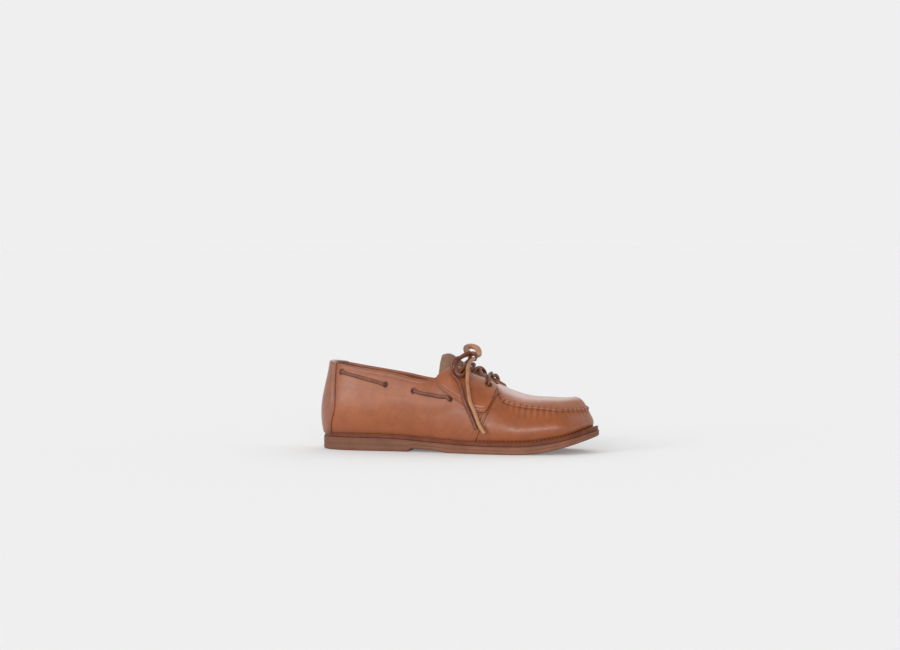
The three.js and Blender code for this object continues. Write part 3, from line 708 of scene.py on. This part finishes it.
def collar_stretch(name, route):
    """Lace that shows between two slots in the quarter, diving in at both ends."""
    lift = LAP + GAP / 2 + LACE_LIFT
    s, t = np.array(route, float).T
    mouths = [(s[k] + 0.06 * np.sign(s[after] - s[k]), t[k]) for k, after in ((0, 1), (-1, -2))]
    between = np.linspace(0, len(s) - 1, 13)[1:-1]
    run = np.stack([smooth(s, between), smooth(t, between)], 1)
    stages = [(route[:1], 3.4), (mouths[:1], 0.6), (run, 0.5), (mouths[1:], 0.6), (route[-1:], 3.4)]
    line, _ = path_points(np.concatenate([on_wall(places, lift - dive) for places, dive in stages]))
    up = normal(wall, np.array([s[0]]), np.array([t[0]]))[0]
    form = strip_mesh(line, up, LACE_WIDTH - 0.3, LACE_THICK)
    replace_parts(new_piece(name + "_lace", *form, RAWHIDE, "rawhide"), name)


# A slot that the lace dives into: size along and across it, then its mouth and its lip as shares
# of those and heights off the leather
SLOT = (2.7, 2.9)
MOUTH = [(1.0, -0.3), (1.0, 0.1), (0.5, 0.16), (0.03, 0.18), (0.03, -0.3)]
LIP = [(0.92, 0.1), (1.0, 0.45), (1.14, 0.55), (1.28, 0.35), (1.36, -0.1), (1.1, -0.3)]


def oval(place, after, profile):
    """A ring whose section is given, on the leather at one place and turned towards another."""
    p, ahead = on_wall([place, after], LAP)
    up = normal(wall, *np.array(place, float))
    ahead = unit(ahead - p - up * (ahead - p).dot(up))
    side = np.cross(up, ahead)
    a = np.arange(28)[:, None] * math.pi / 14
    rim = ahead * np.cos(a) * SLOT[0] + side * np.sin(a) * SLOT[1]
    return ring_body([p + rim * share + up * high for share, high in profile])


mouths, lips = [], []
for part, route in (("rear", COLLAR_REAR), ("front", COLLAR_FRONT)):
    for side, places in (("outer", route), ("inner", other_side(route))):
        collar_stretch("collar_lace_" + side + "_" + part, places)
        for place, after in ((places[0], places[1]), (places[-1], places[-2])):
            mouths.append(oval(place, after, MOUTH))
            lips.append(oval(place, after, LIP))
# The slot mouths are near-black discs of painted shadow
new_piece("slot_mouths", *joined(mouths), SLOT_SHADOW, "leather")
new_piece("slot_lips", *joined(lips), STRAP_TAN, "leather", tint=np.full(len(joined(lips)[0]), 0.15))

# The sole
FINE = np.linspace(0, COUNT, 385)[:-1]


def sole_ring(by, height, rise=0.0):
    """A ring inside the sole's outline, at a height that follows its length."""
    p = inset(FINE, by)
    p[..., 2] = height(p[..., 0]) + rise
    return p


BREAST = 0.346 * LENGTH


def arch(x):
    """How far the sole's underside is cut away in front of the heel."""
    front = [BREAST, BREAST + 0.09 * LENGTH, 0.51 * LENGTH]
    return np.where(x < BREAST, 0.0, np.clip(np.interp(x, front, [ARCH_LIFT, ARCH_LIFT * 0.75, -1]), 0, None))


# Grooves along the sole's side: share of its height and depth
SOLE_GROOVES = [(0.3, 0.0), (0.34, 0.22), (0.38, 0.0), (0.8, 0.0), (0.84, 0.22), (0.88, 0.0)]


def roof(x):
    return seat(x) - MIDSOLE


def underside(x):
    return under(x) + arch(x)


rings = [sole_ring(12.0, underside, 0.02)]
for a in np.linspace(0, math.pi / 2, 6):
    rings.append(sole_ring(EDGE_ROUND * 1.4 * (1 - math.sin(a)), underside, EDGE_ROUND * (1 - math.cos(a))))
for share, depth in SOLE_GROOVES:
    start = lambda x: underside(x) + EDGE_ROUND
    rings.append(sole_ring(depth, lambda x: start(x) + (roof(x) - start(x)) * share))
rings += [sole_ring(by, roof, -drop) for by, drop in ((0.0, 0.5), (0.15, 0.12), (0.5, 0.0), (6.0, 0.0))]
points, faces = layer(rings)
dark = 0.28 * (1 - ramp(points[:, 0], BREAST, BREAST + 70))
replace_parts(new_piece("rubber_outsole", points, faces, RUBBER, "rubber", tint=dark), "outsole")

# The stitched channel on the welt: distance from its edge and depth
WELT_CHANNEL = [(2.4, 0.0), (2.7, 0.25), (3.1, 0.25), (3.4, 0.0), (8.0, 0.0)]

rings = [sole_ring(SOLE_STEP + 0.35, roof, 0.02), sole_ring(SOLE_STEP, roof, 0.35)]
for share, dip in ((0.3, 0.05), (0.55, 0.12), (0.75, 0.05)):
    rings.append(sole_ring(SOLE_STEP + dip, roof, MIDSOLE * share))
for a in np.linspace(0, math.pi / 2, 5):
    rings.append(sole_ring(SOLE_STEP + 0.9 * (1 - math.cos(a)), seat, -0.9 * (1 - math.sin(a))))
rings += [sole_ring(by, seat, -low) for by, low in WELT_CHANNEL]
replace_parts(new_piece("welt_midsole", *layer(rings), WELT_LEATHER, "welt"), "midsole")

welt_line = sole_ring(2.75, seat)
welt_line = np.vstack([welt_line, welt_line[:1]])
welt_stitches = stitches(welt_line, np.tile(UP, (len(welt_line), 1)), 4.2, 0.75, 0.45)
new_piece("welt_stitching", *welt_stitches, THREAD, "welt")

by = np.linalg.norm(edge(FINE) - foot(FINE) * [1, 1, 0], axis=1) + WALL + GAP
profile = [(0.4, 0.0), (0.0, 0.5), (0.0, INSOLE - 0.6), (0.3, INSOLE - 0.15), (0.9, INSOLE)]
rings = [sole_ring(by + d, seat, GAP + h) for d, h in [*profile, (9, INSOLE - 0.3)]]
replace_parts(new_piece("leather_insole", *layer(rings), LINING, "lining"), "insole")

# The upper


def at_height(corners, z):
    """x of a side outline at heights z, both in millimetres."""
    places = np.linspace(0, len(corners) - 1, 200)
    x, h = smooth(np.array(corners, float), places).T
    order = np.argsort(h)
    return np.interp(z, h[order] * INSTEP_HEIGHT, x[order] * LENGTH)


def crossing_place(corners, heights, low, high, lift):
    """Where a side outline crosses the wall, as a place round the loop for each share of its height."""
    places = np.linspace(low, high, 241)
    p = offset(wall, places[:, None], np.asarray(heights)[None, :], lift)
    gap = p[..., 0] - at_height(corners, p[..., 2])
    found = []
    for k in range(len(heights)):
        turn = np.nonzero(np.sign(gap[1:, k]) != np.sign(gap[:-1, k]))[0]
        i = min(turn[0] if len(turn) else np.argmin(np.abs(gap[:, k])), len(places) - 2)
        span = gap[i, k] - gap[i + 1, k]
        share = np.clip(gap[i, k] / span, 0, 1) if abs(span) > 1e-9 else 0.5
        found.append(places[i] + share * (places[i + 1] - places[i]))
    return np.array(found)


# Soft dents and folds in the leather, in the side view: middle x and z, half its length, half its
# width, its slope in degrees and its depth, all in millimetres.
OUTER_DENTS = [(176, 40, 17, 3.2, 62, 0.55), (186, 34, 15, 2.8, 58, 0.4), (150, 46, 26, 4.5, 20, 0.45)]
OUTER_DENTS += [(118, 40, 34, 7, -6, 0.5), (60, 42, 22, 9, 10, -0.5), (36, 34, 12, 5, 70, 0.35)]
OUTER_DENTS += [(88, 60, 30, 3, -10, 0.35), (214, 26, 12, 3, 66, 0.3)]
INNER_DENTS = [(178, 40, 17, 3.2, 60, 0.5), (190, 32, 15, 2.8, 62, 0.4), (142, 44, 28, 5, 16, 0.5)]
INNER_DENTS += [(104, 38, 30, 7, -8, 0.5), (58, 44, 20, 9, 0, -0.4), (34, 36, 12, 5, 66, 0.3)]
INNER_DENTS += [(212, 27, 12, 3, 60, 0.3)]


def dent_depth(p):
    """How far the leather sinks at each point."""
    depth = np.zeros(p.shape[:-1])
    for dents, sign in ((OUTER_DENTS, -1), (INNER_DENTS, 1)):
        on_side = ramp(sign * p[..., 1], 2, 12)
        for x, z, half, width, slope, deep in dents:
            c, s = math.cos(math.radians(slope)), math.sin(math.radians(slope))
            u = ((p[..., 0] - x) * c + (p[..., 2] - z) * s) / half
            v = ((p[..., 2] - z) * c - (p[..., 0] - x) * s) / width
            depth += on_side * deep * np.exp(-(u**2) * 1.4 - v**2)
    return depth


def skin(s, t, by):
    """The leather's face: the wall moved off along its normal, with its dents."""
    s, t = np.broadcast_arrays(s, t)
    return offset(wall, s, t, by - dent_depth(wall(s, t)))


def top_roll(s, outer, inner, rise=0.8):
    """Rows of points that turn over the top edge, from one distance off the wall to another."""
    edge_top, n = wall(s, 1.0), normal(wall, s, 0.99)
    along = unit(wall(s, 1.0) - wall(s, 0.97))
    middle, half = (outer + inner) / 2, (outer - inner) / 2
    turn = np.linspace(0, math.pi, 9)[1:-1]
    return [edge_top + n * (middle + half * math.cos(a)) + along * (half * rise * math.sin(a)) for a in turn]


def speed_along(s, t):
    """Millimetres of wall for each station at places round the loop."""
    return np.linalg.norm(wall(s + STEP, t) - wall(s - STEP, t), axis=1) / (2 * STEP)


def tucked(s, outer, drop, by):
    """The lower edge of a panel's face turned in under it."""
    return outer[:, 0] - outward(s[:, 0]) * by - UP * drop


def framed(dark, low, high, more):
    """Dark values with one column before them and more after them."""
    n = len(dark)
    return np.concatenate([np.full((n, 1 if low else 0), low), dark, np.full((n, more), high)], 1)


def leather_plate(name, face, back, dark, material=TAN, folded=False):
    """A panel of leather between two grids, darker where dark says."""
    points, faces = plate(face, back, folded)
    return new_piece(name, points, faces, material, "leather", 60, np.concatenate([dark, dark]))


HEIGHTS = np.concatenate([np.linspace(0, 0.9, 40), np.linspace(0.92, 1, 6)])
FOLD = 0.86  # how far down inside the collar the outer leather is turned

# Edges of panels: distance from the edge and height off the wall, with a groove for each row of thread
QUARTER_EDGE = [(0.0, -0.15), (0.0, 0.5), (0.12, 0.8), (0.35, 1.0), (0.7, 1.08), (1.5, 1.08), (1.9, 0.8)]
QUARTER_EDGE += [(2.4, 0.8), (2.8, 1.08), (4.4, 1.08), (4.8, 0.8), (5.3, 0.8), (5.7, 1.08), (7.0, LAP)]
OVERLAY_EDGE = [(0.0, LAP - 0.1), (0.0, LAP + 0.6), (0.15, LAP + 1.2), (0.45, FACE - 0.1), (0.9, FACE)]
OVERLAY_EDGE += [(1.6, FACE), (2.0, FACE - 0.3), (2.5, FACE - 0.3), (2.9, FACE)]
SECOND_ROW = [(4.4, FACE), (4.8, FACE - 0.3), (5.3, FACE - 0.3), (5.7, FACE)]


def quarter_piece(side):
    low, high, start, ways = (6.0, 9.0, 0, 1) if side == "outer" else (15.0, 18.0, COUNT, -1)
    front = crossing_place(QUARTER_FRONT, HEIGHTS, low, high, LAP)
    speed = speed_along(front, HEIGHTS)
    last = front - ways * QUARTER_EDGE[-1][0] / speed
    columns = [(start + (last - start) * k, LAP) for k in np.linspace(0, 1, 150)]
    columns += [(front - ways * d / speed, h) for d, h in QUARTER_EDGE[-2::-1]]
    s, by = (np.array(part) for part in zip(*columns))
    t = np.broadcast_to(HEIGHTS, s.shape)
    groove = np.where(t > 0.93, -0.25 * np.exp(-(((t - 0.95) / 0.012) ** 2)), 0)
    outer = skin(s, t, by[:, None] + groove)
    tuck = tucked(s, outer, 1.4, 0.8)
    rows = [tuck, *np.moveaxis(outer, 1, 0)]
    crest = s[:, -1]
    rows += top_roll(crest, LAP, -WALL - 0.3)
    inside = np.linspace(0.99, FOLD, 6)
    rows += [offset(wall, crest, k, -WALL - 0.3) for k in inside]
    face = np.stack(rows, 1)
    count = len(HEIGHTS) + 1
    middle = [tuck + UP * 0.1 - outward(s[:, 0]) * 0.8, *np.moveaxis(offset(wall, s, t, -0.6), 1, 0)]
    spare = len(rows) - count - len(inside)
    middle += [offset(wall, crest, 1.0, -0.6)] * spare
    middle += [offset(wall, crest, k, -1.2) for k in inside]
    back = np.stack(middle, 1)
    drop = (back[:, -len(inside)] - back[:, count - 1])[:, None]
    back[:, count : count + spare] += np.linspace(0, 1, spare)[None, :, None] * drop
    edge_gap = np.abs(s - front) * speed
    # Painted shade, with the burnish of the cut edge: darker along the front edge, at the top and next to the
    # welt, and on the turned foot, the turned top and the collar's inside
    dark = 0.5 * np.exp(-edge_gap / 0.8) + 0.35 * np.exp(-((1 - t) / 0.02)) + 0.45 * np.exp(-t / 0.03)
    piece = leather_plate("quarter_" + side, face, back, framed(dark, 0.6, 0.15, len(rows) - count))
    keep = (HEIGHTS > 0.05) & (HEIGHTS < 0.93)
    rows = []
    for d in (2.15, 5.05):
        at = front - ways * d / speed
        rows.append(stitches(skin(at, HEIGHTS, 0.8)[keep], normal(wall, at, HEIGHTS)[keep]))
    return piece, rows


outer_quarter, thread_rows = quarter_piece("outer")
thread_rows += quarter_piece("inner")[1]


PUCKER_PITCH = 6.2
pucker_s = np.linspace(THROAT_OUTER, THROAT_INNER, 800)
pucker_length = arc_lengths(top(pucker_s))


def pucker(s):
    """A wave along the apron's seam, one swell between each pair of its stitches."""
    return np.cos(2 * math.pi * np.interp(s, pucker_s, pucker_length) / PUCKER_PITCH)


def pucker_strength(s):
    return ramp(s, 8.2, 10.2) * (1 - ramp(s, 13.8, 15.8)) * 0.75 + 0.25

# The vamp, with a swell between the seam's stitches
heights = np.concatenate([np.linspace(0, 0.6, 22), np.linspace(0.62, 1, 26)])
one = crossing_place(QUARTER_FRONT, heights, 6.0, 9.0, 0) - 0.12
other = crossing_place(QUARTER_FRONT, heights, 15.0, 18.0, 0) + 0.12
shares = np.linspace(0, 1, 420)[:, None]
s = one + (other - one) * shares
t = np.broadcast_to(heights, s.shape)
fade = ramp(t, 0.6, 0.97)
swell = 0.5 * pucker(s) * pucker_strength(s) * fade
gather = -0.9 * np.exp(-(((1 - t) / 0.03) ** 2))
outer = skin(s, t, swell + gather)
tuck = tucked(s, outer, 1.4, 0.8)
face = np.concatenate([tuck[:, None], outer], 1)
back = np.concatenate([(tuck - outward(s[:, 0]) * 0.8)[:, None], offset(wall, s, t, -1.0)], 1)
# Painted shade: darker under the apron's seam, next to the welt, on the turned foot and in the dips between
# the seam's swells
dark = 0.4 * np.exp(-((1 - t) / 0.05)) + 0.5 * np.exp(-t / 0.03) + 0.12 * fade * (1 - pucker(s)) / 2
leather_plate("vamp", face, back, framed(dark, 0.6, 0, 0))


SMOOTHING = 150  # passes that round the apron across its crown


def apron_piece():
    s = np.linspace(THROAT_OUTER, THROAT_INNER, 321)[:, None]
    r = np.concatenate([np.linspace(0, 0.1, 8), np.linspace(0.13, 1, 26)])[None, :]
    p = apron(s, r)
    ripple = 0.22 * pucker(s) * pucker_strength(s) * (1 - ramp(r, 0.0, 0.22))
    p = lifted(p, ripple - 0.25 * np.exp(-(((r - 0.06) / 0.03) ** 2)))
    give = 0.5 * ramp(r[:, 1:], 0.3, 0.9)[..., None]
    for _ in range(SMOOTHING):
        across = np.concatenate([p, p[::-1, -2::-1]], 1)
        middle = (across[:, :-2] + across[:, 2:]) / 2
        p[:, 1:] += give * (middle[:, : p.shape[1] - 1] - p[:, 1:])
    # Painted shade along the apron's rim beside the raised seam
    dark = 0.35 * np.exp(-r / 0.05) + 0 * s
    leather_plate("apron", p, lifted(p, -1.8), dark, APRON_TAN_PAINTED_SHEEN, folded=True)


apron_piece()


def seam_piece():
    """The raised seam round the apron, pinched by the stitches that cross it."""
    s = np.linspace(THROAT_OUTER + 0.35, THROAT_INNER - 0.35, 700)
    line = top(s) - outward(s) * RIDGE * 0.35
    tangents = unit(np.gradient(line, axis=0))
    side = unit(np.cross(tangents, UP))
    lift = np.cross(side, tangents)
    pinch = 1 - 0.16 * (0.5 - 0.5 * pucker(s)) ** 4
    loops = []
    for a in np.arange(14) * 2 * math.pi / 14:
        reach = side * (math.cos(a) * RIDGE * 0.95) + lift * (math.sin(a) * RIDGE * 1.05)
        loops.append(line + reach * pinch[:, None])
    points = np.stack(loops, 1)
    n, m = points.shape[:2]
    # Painted shade in the pinches where the stitches cross the seam
    dark = np.repeat(0.35 * (0.5 - 0.5 * pucker(s)) ** 3, m)
    new_piece("apron_seam", points.reshape(-1, 3), tube_faces(n, m, capped=True), TAN, "leather", 60, dark)
    parts = []
    total = np.interp(s, pucker_s, pucker_length)
    for k in range(int(total[0] / PUCKER_PITCH) + 1, int(total[-1] / PUCKER_PITCH)):
        i = int(np.interp((k + 0.5) * PUCKER_PITCH, total, np.arange(n)))
        over = []
        for a in np.linspace(-0.35, math.pi + 0.5, 12):
            lean = tangents[i] * 0.9 * (a / math.pi - 0.5)
            out, high = math.cos(a) * (RIDGE * 0.85 + 0.25), math.sin(a) * (RIDGE * 0.92 + 0.25)
            over.append(line[i] + side[i] * out + lift[i] * high + lean)
        parts.append(strip_mesh(np.array(over), tangents[i], 0.9, 0.9, 0, 0.5, 2))
    new_piece("apron_stitching", *joined(parts), SEAM_THREAD, "leather")


seam_piece()


def inverted(x, z, low, high, lift):
    """Places on the wall that lie at side-view positions x and z."""
    ss, tt = np.meshgrid(np.linspace(low, high, 121), np.linspace(0, 1, 81), indexing="ij")
    p = offset(wall, ss, tt, lift)
    found = []
    for a, b in zip(x, z):
        k = np.argmin((p[..., 0] - a) ** 2 + (p[..., 2] - b) ** 2)
        s, t = ss.flat[k], tt.flat[k]
        for _ in range(6):
            here = offset(wall, s, t, lift)
            ds = (offset(wall, s + 1e-3, t, lift) - here) / 1e-3
            dt = (offset(wall, s, t + 1e-3, lift) - here) / 1e-3
            jac = np.array([[ds[0], dt[0]], [ds[2], dt[2]]])
            move = np.linalg.lstsq(jac, np.array([a - here[0], b - here[2]]), rcond=None)[0]
            s = float(np.clip(s + np.clip(move[0], -0.1, 0.1), low, high))
            t = float(np.clip(t + np.clip(move[1], -0.1, 0.1), 0, 1))
        found.append((s, t))
    return np.array(found)


def facing_piece(side):
    corners = [*FACING_FRONT, *FACING_FOOT]
    x, z = smooth(np.array(corners), np.linspace(0, len(corners) - 1, 150)).T
    span = (4.0, 8.0) if side == "outer" else (16.0, 20.0)
    rim = inverted(x * LENGTH, z * INSTEP_HEIGHT, *span, FACE)
    rim[0, 1] = rim[-1, 1] = 1.0
    far = np.stack([np.linspace(rim[0, 0], rim[-1, 0], len(rim)), np.ones(len(rim))], 1)
    run = np.linspace(0, 1, 12)[:, None]
    length = np.array([arc_lengths(offset(wall, *(a + (b - a) * run).T, FACE))[-1] for a, b in zip(rim, far)])
    depths, lifts = np.array(OVERLAY_EDGE + SECOND_ROW).T
    v = np.clip(depths / np.maximum(length, 1e-6)[:, None], 0, 1)
    rest = v[:, -1:] + (1 - v[:, -1:]) * np.linspace(0, 1, 22)[1:]
    v = np.concatenate([v, rest], 1)[..., None]
    s, t = np.moveaxis(rim[:, None] + (far - rim)[:, None] * v, -1, 0)
    lifts = np.concatenate([lifts, np.full(rest.shape[1], FACE)]) + 0 * s
    crest = far[:, 0]
    turned = top_roll(crest, FACE, -WALL - 0.5, 0.6)
    turned += [offset(wall, crest, k, -WALL - 0.5) for k in (0.98, 0.9)]
    face = np.concatenate([skin(s, t, lifts), np.stack(turned, 1)], 1)
    core = [offset(wall, crest, 0.99, k) for k in np.linspace(LAP - 0.6, -WALL + 0.3, len(turned))]
    back = offset(wall, s, t, np.minimum(lifts - 0.1, LAP - 0.4))
    back = np.concatenate([back, np.stack(core, 1)], 1)
    # Painted shade, with the burnish of the cut edge: darker along the facing's edge, and over the turned top
    # and the collar's inside
    dark = framed(0.45 * np.exp(-v[..., 0] * length[:, None] / 0.8), 0, 0.25, len(turned))
    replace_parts(leather_plate("facing_panel_" + side, face, back, dark), "facing_" + side)
    rows = []
    for d in (2.25, 5.05):
        share = np.clip(d / length, 0, 1)[:, None]
        at = (rim + (far - rim) * share)[length > d + 1.5].T
        rows.append(stitches(skin(*at, FACE - 0.3), normal(wall, *at)))
    return rows


thread_rows += facing_piece("outer") + facing_piece("inner")


def strap_piece():
    heights = np.linspace(0, 1, 48)
    front = crossing_place(STRAP_FRONT, heights, 0.3, 3.0, FACE)
    speed = speed_along(front, heights)
    columns = [(-(front - d / speed), h) for d, h in OVERLAY_EDGE]
    inner_edge = front - OVERLAY_EDGE[-1][0] / speed
    columns += [(-inner_edge + 2 * inner_edge * k, FACE) for k in np.linspace(0, 1, 40)[1:-1]]
    columns += [(front - d / speed, h) for d, h in OVERLAY_EDGE[::-1]]
    s, by = (np.array(part) for part in zip(*columns))
    t = np.broadcast_to(heights, s.shape)
    outer = offset(wall, s, t, by[:, None] + 0 * s)
    tuck = tucked(s, outer, 1.2, 0.6)
    crest = s[:, -1]
    roll = top_roll(crest, FACE, -WALL - 0.5, 0.7)
    inner = [offset(wall, crest, k, -WALL - 0.5) for k in (0.98, 0.93, FOLD)]
    face = np.concatenate([tuck[:, None], outer, np.stack(roll + inner, 1)], 1)
    core = [offset(wall, crest, 0.99, k) for k in np.linspace(LAP - 0.6, -WALL + 0.2, len(roll))]
    core += [offset(wall, crest, k, -WALL + 0.2) for k in (0.98, 0.93, FOLD)]
    back = [(tuck - outward(s[:, 0]) * 0.5)[:, None], offset(wall, s, t, LAP - 0.5), np.stack(core, 1)]
    near = np.minimum(np.abs(s - front), np.abs(s + front)) * speed
    # Painted shade, with the burnish of the cut edges: darker along the strap's edges and next to the welt,
    # and on the turned foot, the turned top and the collar's inside
    dark = framed(0.22 * np.exp(-near / 0.8) + 0.5 * np.exp(-t / 0.03), 0.6, 0.2, len(core))
    piece = leather_plate("heel_strap", face, np.concatenate(back, 1), dark, STRAP_TAN)
    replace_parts(piece, "back_strap")
    rows = []
    keep = (heights > 0.03) & (heights < 0.95)
    for sign in (-1, 1):
        at = sign * (front - 2.25 / speed)
        line = offset(wall, at, heights, FACE - 0.3)
        rows.append(stitches(line[keep], normal(wall, at, heights)[keep]))
    return rows


thread_rows += strap_piece()


# Stitching along the collar, from place to place round the loop
for low, high in ((1.05, 4.55), (19.45, 22.95)):
    s = np.linspace(low, high, 200)
    thread_rows.append(stitches(offset(wall, s, 0.95, LAP - 0.2), normal(wall, s, 0.95)))
new_piece("upper_stitching", *joined(thread_rows), THREAD, "leather")

s = np.linspace(0, COUNT, 193)[:-1]
heights = np.linspace(0.02, 0.985, 24)
face = [offset(wall, s, k, -WALL) for k in heights]
back = [offset(wall, s, k, -1.3) for k in heights[::-1]]
new_piece("leather_lining", *ring_body(face + back), LINING, "lining", 60)

# The tongue
a = np.linspace(0, 1, 90)[:, None]
rim, thin = np.array([(1.0, 0.0), (0.995, 0.45), (0.975, 0.8), (0.94, 1.0)]).T
b = np.concatenate([-rim, np.linspace(-0.9, 0.9, 35), rim[::-1]])[None, :]
full = np.concatenate([thin, np.ones(35), thin[::-1]])[None, :]
tip = np.sqrt(np.clip(1 - ramp(a, 0.985, 1.0) ** 2, 0.02, 1))
wave = 0.5 * np.sin(a * 21) * (b**2) * ramp(a, 0.55, 1)
half = TONGUE / 2 * full * tip
face, back = (offset(tongue, a, b, way * half + wave, -1) for way in (1, -1))
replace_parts(new_piece("tongue_flap", *plate(face, back), LINING, "lining", 60), "tongue")


def eyelet_piece(name, place):
    """A rolled ring with its tube, turned about the wall's normal."""
    s, t = np.array([place[0]]), np.array([place[1]])
    axis = normal(wall, s, t)[0]
    side = unit(np.cross(axis, UP))
    ahead = np.cross(axis, side)
    start = wall(s, t)[0]
    rise = FACE + GAP
    outline = [(EYELET_BORE, -0.5), (EYELET_BORE, rise)]
    for a in np.linspace(0.2, math.pi * 0.85, 8):
        outline.append((3.0 - 0.9 * math.cos(a), rise + 0.15 + 0.75 * math.sin(a)))
    outline += [(EYELET_OUTER + 0.05, rise + 0.1), (EYELET_OUTER - 0.1, rise - 0.35)]
    outline += [(EYELET_BORE + 0.5, rise - 0.35), (EYELET_BORE + 0.5, -0.5)]
    a = np.arange(36)[:, None] * math.pi / 18
    ring = side * np.cos(a) + ahead * np.sin(a)
    loops = [start + axis * h + ring * r for r, h in outline]
    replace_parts(new_piece(name + "_ring", *ring_body(loops), BRONZE, "bronze"), name)


for row, place in EYELETS.items():
    eyelet_piece("eyelet_outer_" + row, place)
    eyelet_piece("eyelet_inner_" + row, other_side([place])[0])

# The upper's solid is shown by its leather pieces
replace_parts(outer_quarter, "upper")

# The floor, the backdrop and the light
PALE = linear(239, 239, 239)[0]
DIM_SKY = 0.3  # overhead in front
FLOOR_PALE, FLOOR_GLOW = 0.7, 0.1623
REACH = 200  # metres from the middle to the floor's sides
# Soft lamps: azimuth from the front, elevation and width in degrees, and strength
LAMPS = [(-42, 20, 24, 0.9), (-2, 16, 18, 0.8), (20, 12, 18, 0.8), (-35, 48, 30, 0.25)]
LAMPS += [(180, 34, 44, 0.5)]


def sky(tree):
    """An even pale backdrop, dimmer overhead in front."""
    s = Nodes(tree)
    apart = s.add("ShaderNodeSeparateXYZ")
    s.link(s.add("ShaderNodeTexCoord").outputs["Generated"], apart, "Vector")
    both = s.add("ShaderNodeMath", operation="MULTIPLY")
    s.link(s.steps(apart.outputs["Y"], 0.12, -0.25, kind="SMOOTHSTEP"), both, 0)
    s.link(s.steps(apart.outputs["Z"], 0.2, 0.42, kind="SMOOTHSTEP"), both, 1)
    s.link(s.steps(both.outputs[0], 0, 1, PALE, DIM_SKY), tree.nodes["Background"], "Color")

mesh = bpy.data.meshes.new("floor")
corners = [(x * REACH, y * REACH, 0) for x, y in ((-1, -1), (1, -1), (1, 1), (-1, 1))]
mesh.from_pydata(corners, [], [(0, 1, 2, 3)])
floor = new_object("floor", mesh)
white = (1.0, 1.0, 1.0, 1.0)
glow = {"Emission_Color": white, "Emission_Strength": FLOOR_GLOW}
s = Shader("floor_white", 1.0, Specular_IOR_Level=0.0, **glow)
s.shader.inputs["Base Color"].default_value = (FLOOR_PALE, FLOOR_PALE, FLOOR_PALE, 1)
mesh.materials.append(s.material)
world = bpy.data.worlds.new("studio")
world.use_nodes = True
sky(world.node_tree)
bpy.context.scene.world = world
for k, (azimuth, elevation, width, strength) in enumerate(LAMPS):
    data = bpy.data.lights.new(f"lamp_{k}", "SUN")
    data.energy = strength
    data.angle = math.radians(width)
    lamp = new_object(data.name, data)
    lamp.rotation_euler = (math.radians(90 - elevation), 0, math.radians(azimuth))
bpy.context.scene.view_settings.view_transform = "Standard"
